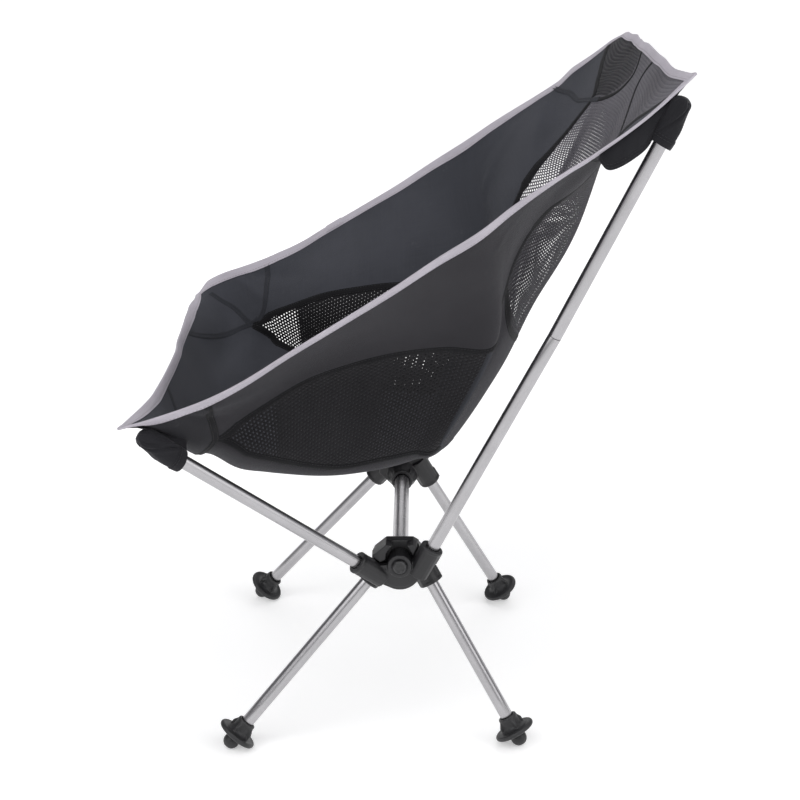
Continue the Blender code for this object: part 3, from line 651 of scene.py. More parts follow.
def metal_material(name, colour, rough, use_uv=True, tint=(0.9, 0.9, 0.92)):
    """Drawn and anodised tube: hair-fine lines along the tube and soft patches of wear."""
    s = Shade(name, colour, rough, 1.0)
    base = s.uv() if use_uv else s.place()
    lines = s.noise(s.scaled(base, (2600.0, 9.0, 2600.0 if not use_uv else 1.0)), 1.0, 3.0, 0.6)
    place = s.place()
    cloud = s.noise(place, 26.0, 5.0, 0.6)
    rub = s.ramp(s.noise(place, 120.0, 6.0, 0.7), 0.60, 0.74)
    tone = s.math("ADD", s.math("MULTIPLY", s.ramp(lines, 0.3, 0.7), 0.5),
                  s.math("MULTIPLY", s.ramp(cloud, 0.35, 0.65), 0.5), clamp=True)
    dark = tuple(c * 0.90 for c in colour)
    light = tuple(min(c * 1.10, 1.0) for c in colour)
    c = s.mix(tone, dark, light)
    c = s.mix(s.math("MULTIPLY", rub, 0.25), c, tint)
    r = s.math("ADD", s.ramp(lines, 0.3, 0.7, rough - 0.05, rough + 0.05),
               s.math("MULTIPLY", rub, 0.06))
    normal = s.bump(lines, 0.00003, 0.5)
    return s.out(c, r, normal)


def moulded_material(name, colour, rough, grain=1.0, worn=(0.10, 0.10, 0.105)):
    """Moulded nylon: fine spark-eroded grain, softer sheen where it is handled, scuffed edges."""
    s = Shade(name, colour, rough, 0.0, Specular_IOR_Level=0.5)
    place = s.place()
    fine = s.noise(place, 2200.0, 2.0, 0.5)
    mid = s.noise(place, 260.0, 4.0, 0.6)
    cloud = s.noise(place, 34.0, 4.0, 0.55)
    geo = s.node("ShaderNodeNewGeometry")
    edge = s.ramp(geo.outputs["Pointiness"], 0.515, 0.56)
    scuff = s.math("MULTIPLY", edge, s.ramp(mid, 0.42, 0.62), clamp=True)
    light = tuple(c * 1.9 for c in colour)
    c = s.mix(s.ramp(cloud, 0.35, 0.7), colour, light)
    c = s.mix(s.math("MULTIPLY", scuff, 0.5), c, worn)
    r = s.math("ADD", s.ramp(cloud, 0.3, 0.7, rough - 0.07, rough + 0.07),
               s.math("MULTIPLY", s.ramp(mid, 0.35, 0.65), 0.06))
    normal = s.bump(fine, 0.00005 * grain, 0.55)
    normal = s.bump(mid, 0.00006 * grain, 0.35, normal)
    return s.out(c, r, normal)


def braid_material(name, dark, light):
    s = Shade(name, dark, 0.8, 0.0, Sheen_Weight=0.3, Specular_IOR_Level=0.3)
    place = s.place()
    x, y, z = s.xyz(s.scaled(place, (2600.0,) * 3))
    a = s.math("SINE", s.math("ADD", x, z))
    b = s.math("SINE", s.math("SUBTRACT", s.math("ADD", y, z), x))
    h = s.math("MAXIMUM", a, b)
    return s.out(s.mix(s.ramp(h, -1, 1), dark, light), s.ramp(h, -1, 1, 0.85, 0.7), s.bump(h, 0.0002, 0.6))


# inside and outside copies of one charcoal cloth: the inside copy is lighter as painted light, the outside copy is
# darker as painted shade
MAT_CLOTH = cloth_material("charcoal_weave", (0.032, 0.034, 0.041), (0.062, 0.064, 0.076))
MAT_CLOTH_OUT_PAINTED_SHADE = cloth_material("charcoal_weave_outside_painted_shade", (0.0180, 0.0172, 0.0198), (0.0345, 0.0330, 0.0375))
MAT_PATCH = cloth_material("charcoal_weave_patch", (0.0110, 0.0110, 0.0130), (0.0240, 0.0238, 0.0275), pitch=0.0011)
MAT_MESH = knit_material("black_knit", (0.0052, 0.0050, 0.0062), (0.0190, 0.0182, 0.0210))
# the back knit's inner faces are lit up with a painted sheen; back_knit_outside is the same knit without it, for the
# outer faces
MAT_MESH_BACK_PAINTED_SHEEN = knit_material("back_knit", (0.050, 0.0475, 0.0560), (0.150, 0.1430, 0.1640))
MAT_MESH_OUT = knit_material("back_knit_outside", (0.0120, 0.0116, 0.0135), (0.0380, 0.0365, 0.0420))
MAT_SEAM = tape_material("black_tape", (0.0045, 0.0044, 0.0052), (0.0130, 0.0128, 0.0150), pitch=0.0016, sheen=0.03,
                         spec=0.16)
MAT_SELF = cloth_material("felled_seam", (0.020, 0.021, 0.026), (0.042, 0.044, 0.052))
MAT_TAPE = tape_material("grey_tape", (0.38, 0.355, 0.40), (0.58, 0.545, 0.605))
MAT_THREAD = tape_material("black_thread", (0.006, 0.006, 0.007), (0.020, 0.020, 0.023), rough=0.6, pitch=0.0006)
MAT_THREAD_GREY = tape_material("grey_thread", (0.16, 0.15, 0.17), (0.30, 0.28, 0.31), rough=0.6, pitch=0.0006)
MAT_TUBE = metal_material("satin_tube", (0.445, 0.437, 0.450), 0.27, tint=(0.62, 0.61, 0.63))
MAT_STEEL = metal_material("pin_steel", (0.34, 0.34, 0.35), 0.34, use_uv=False, tint=(0.6, 0.6, 0.6))
MAT_FERRULE = metal_material("ferrule_tube", (0.44, 0.43, 0.45), 0.30, use_uv=False, tint=(0.6, 0.6, 0.6))
MAT_NYLON = moulded_material("black_nylon_moulded", (0.0085, 0.0083, 0.0094), 0.40)
MAT_CAP = moulded_material("black_nylon_cap", (0.012, 0.012, 0.013), 0.32, grain=0.6)
MAT_FOOT = moulded_material("foot_elastomer", (0.0115, 0.0115, 0.0125), 0.44, grain=1.4, worn=(0.13, 0.125, 0.12))
MAT_CORD = braid_material("elastic_cord", (0.012, 0.012, 0.013), (0.045, 0.045, 0.048))

NODE_MATERIALS = {"cord": MAT_CORD, "pivot_pin": MAT_STEEL, "ferrule": MAT_FERRULE, "pole_tip": MAT_NYLON}
for node, obj in NODES.items():
    for key, mat in NODE_MATERIALS.items():
        if node.endswith(key):
            obj.data.materials.clear()
            obj.data.materials.append(mat)


# ---------------------------------------------------------------------------------
# the sling
# ---------------------------------------------------------------------------------
SHEETS = []                    # (object, area, flat, body, nodes, slot, form)
TRIM = []


def lines(u0, u1, step_mm, extra=()):
    """u values with even spacing on the cloth near the shoulder line."""
    uu = np.linspace(u0, u1, 400)
    p = surf_mm(uu, np.full(400, 0.72))
    s = np.concatenate([[0], np.cumsum(np.linalg.norm(np.diff(p, axis=0), axis=1))])
    n = max(int(s[-1] / step_mm), 4)
    out = set(np.round(np.interp(np.linspace(0, s[-1], n + 1), s, uu), 6))
    return np.array(sorted(out | {round(x, 6) for x in extra if u0 < x < u1}))


def panel(name, u, lo, hi, cols, mat, nodes, thick=CLOTH):
    t = np.linspace(0, 1, cols + 1)[None]
    U = np.repeat(u[:, None], cols + 1, 1)
    V = lo[:, None] * (1 - t) + hi[:, None] * t
    obj, area, size = shell_mesh(name, U, V, thick, mat)
    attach(obj, "seat_frame")
    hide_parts(*nodes)
    return obj, area, size


STEP = 3.6
u = lines(0.006, U_HIP, STEP, (U_TIP,))
lim = seam_low(u)
seat = panel("seat_cloth", u, -lim, lim, 76, MAT_CLOTH, ["seat_panel"])
u = lines(U_HIP, U_LUMBAR, STEP)
lim = np.full(len(u), 0.75)
lumbar = panel("lumbar_cloth", u, -lim, lim, 72, MAT_CLOTH, ["lumbar_panel"])
side_cloth = {}
for side, word in SIDES:
    u = lines(0.004, U_MESH_END, STEP * 0.8, (U_TIP, 0.905, 0.915, 0.927, 0.9446, 0.956))
    a, b = seam_high(u) * side, np.full(len(u), 0.995) * side
    if side < 0:
        a, b = b, a
    side_cloth[word] = panel(word + "_side_cloth", u, a, b, 44, MAT_CLOTH, [word + "_side_panel"])


# knitted mesh with real holes -----------------------------------------------------
def knit(name, u0, u1, lo, hi, pitch, hole, thick, mat, mid, mat_out=None):
    """Honeycomb net: lo and hi give v at u, mid is the v whose arc length spaces the rows."""
    uu = np.linspace(u0, u1, 500)
    p = surf_mm(uu, mid(uu))
    s = np.concatenate([[0], np.cumsum(np.linalg.norm(np.diff(p, axis=0), axis=1))])
    length = s[-1]
    row_h = pitch * math.sqrt(3) / 2
    nrow = int(length / row_h) + 1
    R = pitch / math.sqrt(3)
    wide = 64
    grid_v = np.linspace(0, 1, 161)

    def to_uv(x, y):
        """x along the row from the middle, y along the panel, both in mm."""
        uq = np.interp(np.clip(y, 0, length), s, uu)
        key, inv = np.unique(np.round(uq, 7), return_inverse=True)
        vq = np.empty_like(x)
        U = np.repeat(key[:, None], len(grid_v), 1)
        V = lo(key)[:, None] * (1 - grid_v) + hi(key)[:, None] * grid_v
        P = surf_mm(U, V)
        arc = np.concatenate([np.zeros((len(key), 1)), np.cumsum(np.linalg.norm(np.diff(P, axis=1), axis=2), 1)], 1)
        m = mid(key)
        for k in range(len(key)):
            centre = np.interp((m[k] - V[k, 0]) / (V[k, -1] - V[k, 0]), grid_v, arc[k])
            pick = inv == k
            vq[pick] = np.interp(x[pick] + centre, arc[k], V[k])
        return uq, vq, None

    # extent of every row
    ang = np.radians(np.arange(6) * 60 + 30)
    cx, cy = [], []
    for r in range(nrow):
        y = (r + 0.5) * row_h
        uq = np.interp(min(y, length), s, uu)
        V = np.linspace(float(lo(np.array([uq]))[0]), float(hi(np.array([uq]))[0]), 161)
        P = surf_mm(np.full(161, uq), V)
        arc = np.concatenate([[0], np.cumsum(np.linalg.norm(np.diff(P, axis=0), axis=1))])
        c = np.interp(float(mid(np.array([uq]))[0]), V if V[-1] > V[0] else V[::-1], arc if V[-1] > V[0] else arc[::-1])
        k0, k1 = math.ceil((-c) / pitch - 0.5), math.floor((arc[-1] - c) / pitch + 0.5)
        k = np.arange(k0, k1 + 1) + (0.5 if r % 2 else 0.0)
        x = k * pitch
        ok = (x + c > pitch * 0.25) & (x + c < arc[-1] - pitch * 0.25)
        cx.append(x[ok])
        cy.append(np.full(ok.sum(), y))
    cx, cy = np.concatenate(cx), np.concatenate(cy)
    n = len(cx)
    if callable(hole):
        cu, cv, _ = to_uv(cx, cy)
        hole = hole(cu, cv)[:, None]
        backed = (hole[:, 0] > 2.3) & (cu > 0.88)      # cells with the dark patch right behind
    ox = cx[:, None] + R * np.cos(ang)[None]
    oy = cy[:, None] + R * np.sin(ang)[None]
    hx = cx[:, None] + hole * 0.5 * np.cos(ang)[None]
    hy = cy[:, None] + hole * 0.5 * np.sin(ang)[None]
    # share the outer corners
    kx, ky = np.round(ox / pitch * 6).astype(int), np.round(oy / row_h * 6).astype(int)
    key = kx.ravel() * 100003 + ky.ravel()
    uniq, first, inv = np.unique(key, return_index=True, return_inverse=True)
    X = np.concatenate([ox.ravel()[first], hx.ravel()])
    Y = np.concatenate([oy.ravel()[first], hy.ravel()])
    U, V, _ = to_uv(X, Y)
    P, su, sv, N = frame_at(U, V)
    no = len(uniq)
    h = np.concatenate([np.full(no, thick * 0.5), np.full(6 * n, thick * 0.32)])[:, None] * MM
    top, low = P + N * h, P - N * h
    m = len(P)
    inv = inv.reshape(n, 6)
    inner = no + np.arange(6 * n).reshape(n, 6)
    j = np.arange(6)
    j2 = (j + 1) % 6
    q = np.stack([inv[:, j], inv[:, j2], inner[:, j2], inner[:, j]], -1).reshape(-1, 4)
    wall = np.stack([inner[:, j], inner[:, j2], inner[:, j2] + m, inner[:, j] + m], -1).reshape(-1, 4)
    # orientation
    a, b, c = P[q[0, 0]], P[q[0, 1]], P[q[0, 2]]
    turn = np.dot(np.cross(b - a, c - a), N[q[0, 0]]) < 0
    top_q = q[:, ::-1] if turn else q
    low_q = (q if turn else q[:, ::-1]) + m
    wall = wall[:, ::-1] if turn else wall
    # outer rim of the net, closed so that it is one body
    e = np.stack([inv[:, j], inv[:, j2]], -1).reshape(-1, 2)
    ek = np.sort(e, 1)
    _, idx, count = np.unique(ek[:, 0].astype(np.int64) * (m + 1) + ek[:, 1], return_index=True, return_counts=True)
    rim = e[idx[count == 1]]
    rim_q = np.stack([rim[:, 1], rim[:, 0], rim[:, 0] + m, rim[:, 1] + m], -1)
    if turn:
        rim_q = rim_q[:, ::-1]
    quads = np.concatenate([top_q, low_q, wall, rim_q])
    uv = np.stack([X, Y], -1) * MM
    obj = make_mesh(name, np.concatenate([top, low]), quads, np.concatenate([uv, uv]), mat)
    if mat_out is not None:
        obj.data.materials.append(mat_out)
        # top faces carry mat and its painted sheen; lower faces, and top faces of cells over the dark corner patch,
        # take mat_out without the painted sheen
        which = np.zeros(len(quads), np.int32)
        which[len(q):2 * len(q)] = 1
        which[:len(q)] = np.repeat(backed, 6)
        obj.data.polygons.foreach_set("material_index", which)
    tri = P[q]
    area = float(np.linalg.norm(np.cross(tri[:, 1] - tri[:, 0], tri[:, 3] - tri[:, 0]), axis=1).sum() / 2
                 + np.linalg.norm(np.cross(tri[:, 3] - tri[:, 2], tri[:, 1] - tri[:, 2]), axis=1).sum() / 2)
    full = n * pitch * row_h * 1e-6
    return obj, area, full, (float(cx.max() - cx.min()) * MM, length * MM)


def const(v):
    return lambda u: np.full(np.shape(u), v, float)


def hip_hole(u, v=None):
    """Open near the front, nearly shut where the net is doubled, open again behind."""
    return np.interp(u, [0.13, 0.242, 0.250, 0.40, 0.425, 0.51, 0.53, 0.60],
                     [2.00, 2.00, 0.62, 0.62, 1.60, 1.60, 0.90, 0.90])


def back_hole(u, v):
    """Open in the middle of the back, closer knit toward the top; open again over the
    corner patches, whose dark cloth shows through."""
    plain = np.interp(u, [0.68, 0.80, 0.865, 0.915, 1.0], [2.62, 2.62, 2.05, 1.32, 1.15])
    reach = np.interp(u, [0.900, 0.9125, 0.9268, 0.9400, 0.9554, 0.9720, 0.9935],
                      [1.200, 0.375, 0.254, 0.175, 0.128, 0.150, 0.262])
    over = smooth(np.abs(v) - reach, 0.01, 0.05) * smooth(-v, -0.2, 0.1)
    return plain * (1 - over) + 2.45 * over


back = knit("back_knit_mesh", U_LUMBAR, 0.994, lambda u: -mesh_high(u), mesh_high, 3.9, back_hole, 0.62, MAT_MESH_BACK_PAINTED_SHEEN,
            const(0.0), MAT_MESH_OUT)
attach(back[0], "seat_frame")
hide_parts("back_mesh")
hips = {}
for side, word in SIDES:
    lo, hi = (lambda u, s=side: s * seam_low(u)), (lambda u, s=side: s * seam_high(u))
    if side < 0:
        lo, hi = hi, lo
    got = knit(word + "_hip_knit", U_TIP + 0.002, U_HIP, lo, hi, 3.9, hip_hole, 0.66, MAT_MESH,
               (lambda u, s=side: s * (seam_low(u) * 0.5 + seam_high(u) * 0.5)))
    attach(got[0], "seat_frame")
    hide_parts(word + "_hip_mesh")
    hips[word] = got


# ---------------------------------------------------------------------------------
# seams, patches and stitching
# ---------------------------------------------------------------------------------
def riding(obj, body="seat_frame"):
    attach(obj, body)
    return obj


def path(points, count=60):
    """Smooth path through a few (u, v) points."""
    pts = np.array(points, float)
    if len(pts) == 2:
        t = np.linspace(0, 1, count)[:, None]
        q = pts[0] * (1 - t) + pts[1] * t
        return q[:, 0], q[:, 1]
    ext = np.concatenate([[2 * pts[0] - pts[1]], pts, [2 * pts[-1] - pts[-2]]])
    out = []
    n = len(pts) - 1
    for x in np.linspace(0, n, count):
        k = min(int(x), n - 1)
        f = x - k
        p0, p1, p2, p3 = ext[k:k + 4]
        out.append(0.5 * (2 * p1 + (p2 - p0) * f + (2 * p0 - 5 * p1 + 4 * p2 - p3) * f * f
                          + (3 * p1 - p0 - 3 * p2 + p3) * f ** 3))
    out = np.array(out)
    return out[:, 0], out[:, 1]


stitch = []                   # rows of thread: (u, v, face, height in mm)
pieces_on = {"seat": [], "left": [], "right": [], "back": [], "lumbar": []}


def seam(name, u, v, width, mat, rows=(-2.3, 2.3), on="seat", crown=0.45, base=0.42, ridge=0.0,
         faces=(1, -1), under=0.0, mat_out=None):
    obj, area, size = strip(name, u, v, width, mat, crown=crown, base=base, ridge=ridge, pucker=0.05, under=under,
                            mat_out=mat_out)
    riding(obj)
    pieces_on[on].append(obj)
    for off in rows:
        uu, vv, _ = resample(u, v, 2.0)
        uu, vv = walk(uu, vv, off)
        for face in faces:
            if under and face < 0:      # stops where the edge tape covers it
                k = (np.abs(vv) < 0.905) & (uu > 0.040)
                stitch.append((uu[k], vv[k], face, base + crown * 0.78 + 0.08 + under))
            else:
                stitch.append((uu, vv, face, base + crown * 0.78 + 0.08))
    return obj


for side, word in SIDES:
    u = np.concatenate([np.linspace(U_TIP + 0.001, 0.21, 30)[:-1], np.linspace(0.21, 0.89, 150)[:-1],
                        np.linspace(0.89, 0.905, 8)[:-1], np.linspace(0.905, U_MESH_END, 60)])
    seam(word + "_long_seam", u, side * seam_high(u), 7.4, MAT_SEAM, on=word, ridge=0.25)
    u = np.concatenate([np.linspace(U_TIP + 0.001, 0.21, 30)[:-1], np.linspace(0.21, U_HIP, 80)])
    seam(word + "_hip_seam", u, side * seam_low(u), 7.0, MAT_SEAM, on=word, ridge=0.2)
u = np.full(90, U_HIP)
seam("hip_cross_seam", u, np.linspace(-0.745, 0.745, 90), 7.0, MAT_SELF, on="lumbar")
u = np.full(90, U_LUMBAR)
seam("lumbar_cross_seam", u, np.linspace(-0.745, 0.745, 90), 7.5, MAT_SEAM, on="back")

# reinforcing layers at the four corners
front_edges = {
    "left": path([(0.150, 0.985), (0.138, 0.85), (0.128, 0.72), (0.113, 0.60), (0.086, 0.48), (0.050, 0.40),
                  (0.008, 0.35)], 90),
    "right": path([(0.1790, 0.985), (0.1780, 0.90), (0.1740, 0.83), (0.160, 0.778), (0.137, 0.730), (0.100, 0.688),
                   (0.061, 0.637), (0.032, 0.571), (0.008, 0.480)], 90)}
top_edge = path([(0.9935, 0.262), (0.972, 0.150), (0.9554, 0.128), (0.9400, 0.175), (0.9268, 0.254), (0.9125, 0.375),
                 (0.9040, 0.500), (0.9055, 0.600), (0.9070, 0.713), (0.8890, 0.854), (0.8640, 0.933),
                 (0.8380, 0.990)], 120)


def corner_patch(name, side, edge, u_end, face, mat, gap, thick):
    """A second layer of cloth between the corner and the curve `edge`."""
    eu, ev = edge
    k = int(np.argmin(ev))
    if u_end > 0.5:                     # the part of the curve that faces the corner, v rising
        eu, ev = eu[k:], ev[k:]
    v = np.linspace(float(ev.min()), 0.985, 46)
    order = np.argsort(ev)
    reach = np.interp(v, ev[order], eu[order])
    if u_end > 0.5:
        uc, vc = edge[0][:k + 1], edge[1][:k + 1]
        order = np.argsort(vc)
        stop = np.interp(v, vc[order], uc[order])
        stop = np.where(v > vc.max(), u_end, stop)
    else:
        stop = np.full(len(v), u_end)
    t = np.linspace(0, 1, 44)
    U = stop[None] + (reach - stop)[None] * t[:, None]
    V = np.broadcast_to(v[None] * side, U.shape).copy()
    if u_end > 0.5:
        U = U[::-1]
    if side < 0:
        U, V = U[:, ::-1].copy(), V[:, ::-1].copy()
    under = 1 - 0.80 * smooth(np.abs(V), 0.935, 0.968)
    obj, area, size = shell_mesh(name, U, V, thick, mat, bulge=face * gap * under)
    return riding(obj)


for side, word in SIDES:
    fu, fv = front_edges[word]
    got = corner_patch(word + "_front_corner_patch", side, front_edges[word], 0.006, -1, MAT_PATCH, 0.85, 0.8)
    pieces_on[word].append(got)
    got = corner_patch(word + "_back_corner_patch", side, top_edge, 0.994, -1, MAT_PATCH, 0.95, 0.8)
    pieces_on[word].append(got)
    seam(word + "_front_patch_hem", fu, fv * side, 7.4, MAT_SELF, on=word, rows=(-2.2, 2.2), crown=0.42,
         base=0.55, faces=(1, -1), ridge=-0.25, under=0.85, mat_out=MAT_SEAM)
    tu, tv = top_edge
    n = int(len(tu) * 0.56)
    seam(word + "_back_patch_seam", tu[:n], tv[:n] * side, 4.6, MAT_SEAM, on=word, rows=(), crown=0.5,
         base=0.45, faces=(1,), ridge=0.1)
    seam(word + "_back_patch_hem", tu[n - 1:], tv[n - 1:] * side, 6.0, MAT_SELF, on=word, rows=(-1.7, 1.7), crown=0.42,
         base=0.75, faces=(1, -1), ridge=-0.2, under=0.75, mat_out=MAT_SEAM)
    # the seam from the corner to where the hip mesh starts
    uu, vv = path([(0.052, 0.925), (0.0700, 0.862), (0.0935, 0.810), (U_TIP, V_TIP)])
    seam(word + "_corner_seam", uu, vv * side, 6.0, MAT_SELF, on=word, rows=(-1.8, 1.8), crown=0.30,
         base=0.42, faces=(1,), ridge=-0.2)


# ---------------------------------------------------------------------------------
# edge binding: a folded tape round the whole rim, in four lengths
# ---------------------------------------------------------------------------------
def binding(name, u, v, inward, width=8.6, step=1.15, blunt=(0.0, 0.0), lift=0.0, mat=None):
    """Tape folded over the edge (u, v).  inward is +1 or -1: which side of the run the
    cloth lies on.  blunt rounds the two ends over so many millimetres."""
    u, v, s = resample(u, v, step)
    total = s[-1]
    half = 0.5 * CLOTH + 0.06 + lift
    t = 0.62
    stitch_at = width - 1.9
    outer, inner = [], []
    for d in np.concatenate([np.linspace(width, 0.6, 9)]):
        dip = 0.20 * math.exp(-((d - stitch_at) / 0.8) ** 2)
        edge = 0.18 if abs(d - width) < 0.3 else 0.0
        full = 0.22 * math.exp(-((d - 3.4) / 2.2) ** 2)
        outer.append((d, half + t - dip - edge + full, d > 0.7))
        inner.append((d, half, False))
    fold_o = [(0.6 - (half + t + 0.05) * math.sin(a), (half + t) * math.cos(a), False)
              for a in np.radians((25, 50, 75, 90, 105, 130, 155))]
    fold_i = [(0.6 - half * math.sin(a), half * math.cos(a), False)
              for a in np.radians((35, 90, 145))]
    out = outer + fold_o + [(d, -h, k) for d, h, k in reversed(outer)]
    inn = inner + fold_i + [(d, -h, k) for d, h, k in reversed(inner)]
    loop = out + inn[::-1]
    phase = 2 * math.pi * s / 3.6
    pucker = 0.10 * np.cos(phase)
    wander = 0.28 * np.sin(s / 41.0 + len(name)) + 0.16 * np.sin(s / 13.0)
    ends = np.ones(len(s))
    for k, b in enumerate(blunt):
        if b > 0:
            r = (s if k == 0 else total - s)
            ends = np.minimum(ends, np.sqrt(np.clip(1 - (1 - np.clip(r / b, 0, 1)) ** 2, 0.45, 1)))
    ring = []
    cache = {}
    for d, h, sewn in loop:
        dd = np.full(len(s), d)
        dd = np.where(dd > 3, dd + wander * (dd - 3) / 6, dd)
        mid = width * 0.45
        dd = mid + (dd - mid) * ends
        key = round(float(d), 4)
        if key not in cache:
            uu, vv = walk(u, v, inward * dd)
            cache[key] = frame_at(uu, vv)
        p, su, sv, n = cache[key]
        hh = np.full(len(s), h)
        if sewn:
            hh = hh + np.sign(h) * pucker * math.exp(-((d - stitch_at) / 1.6) ** 2)
        ring.append(p + n * (hh * np.clip(ends, 0.35, 1))[:, None] * MM)
    ring = np.stack(ring, 1)
    nr, nc = ring.shape[:2]
    q = grid_quads(nr, nc, wrap_c=True)
    a, b = ring[0, 0], ring[0, 1]
    # orientation: outer leg on the +n face must face +n
    p, su, sv, n = cache[round(float(loop[3][0]), 4)]
    k = nr // 2
    v0, v1, v2 = ring[k, 3], ring[k, 4], ring[k + 1, 4]
    if np.dot(np.cross(v1 - v0, v2 - v0), n[k]) < 0:
        q = q[:, ::-1]
        turned = True
    else:
        turned = False
    quads = [q]
    m = len(out)
    for r, turn in ((0, not turned), (nr - 1, turned)):
        # cap between the outer and the inner contour
        a_idx = np.linspace(0, m - 1, len(inn)).round().astype(int)
        for j in range(len(inn) - 1):
            o0, o1 = a_idx[j], a_idx[j + 1]
            i0, i1 = nc - 1 - j, nc - 2 - j
            quad = [o0, o1, i1, i0]
            quads.append(np.array([[r * nc + x for x in (quad[::-1] if turn else quad)]]))
            for x in range(o0 + 1, o1):
                pass
    arc = np.concatenate([[0], np.cumsum(np.linalg.norm(np.diff(ring[k], axis=0), axis=1))])
    uv = np.stack([np.broadcast_to(arc[None], (nr, nc)), np.broadcast_to(s[:, None] * MM, (nr, nc))], -1)
    obj = make_mesh(name, ring.reshape(-1, 3), np.concatenate(quads), uv.reshape(-1, 2), mat or MAT_TAPE, auto=75)
    riding(obj)
    rows = []
    for face in (1, -1):
        uu, vv = walk(u, v, np.full(len(s), inward * stitch_at))
        rows.append((uu, vv, face, half + t - 0.20 + 0.02))
    length = float(total) * MM
    return obj, rows, length


tape_rows, TAPES = [], []
rim = {}
for side, word in SIDES:
    u = np.linspace(-0.0045, 1.0035, 420) if side > 0 else np.linspace(0.0022, 0.9985, 420)
    v = np.full(420, 1.0 * side)
    got = binding(word + "_rim_binding", u, v, 1 if side > 0 else -1, width=10.2, blunt=(1.4, 1.4))
    rim[word] = got
    tape_rows += got[1]
    TAPES.append(got)
v = np.linspace(-0.995, 0.995, 300)
front = binding("front_edge_binding", np.full(300, 0.0), v, 1, lift=0.05)
TAPES.append(front)
tape_rows += front[1]
top = binding("top_edge_binding", np.full(300, 1.0), v, -1, lift=0.05)
TAPES.append(top)
tape_rows += top[1]
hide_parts("edge_binding")
# where the two ends of the right-hand tape overlap
u = np.linspace(0.296, 0.322, 12)
lap = binding("right_binding_lap", u, np.full(12, -1.0), -1, width=9.0, lift=0.75)
tape_rows += lap[1]

c, a, n = stitch_rows(tape_rows, pitch=3.6)
thread_tape = riding(beads("binding_stitches", c, a, n, 1.30 * MM, 0.24 * MM, MAT_THREAD_GREY))
c, a, n = stitch_rows(stitch)
thread = riding(beads("seam_stitches", c, a, n, 1.25 * MM, 0.23 * MM, MAT_THREAD))


# ---------------------------------------------------------------------------------
# corner pockets
# ---------------------------------------------------------------------------------
def basis(direction, lean):
    d = direction.normalized()
    ex = (lean - d * lean.dot(d)).normalized()
    return d, ex, d.cross(ex)


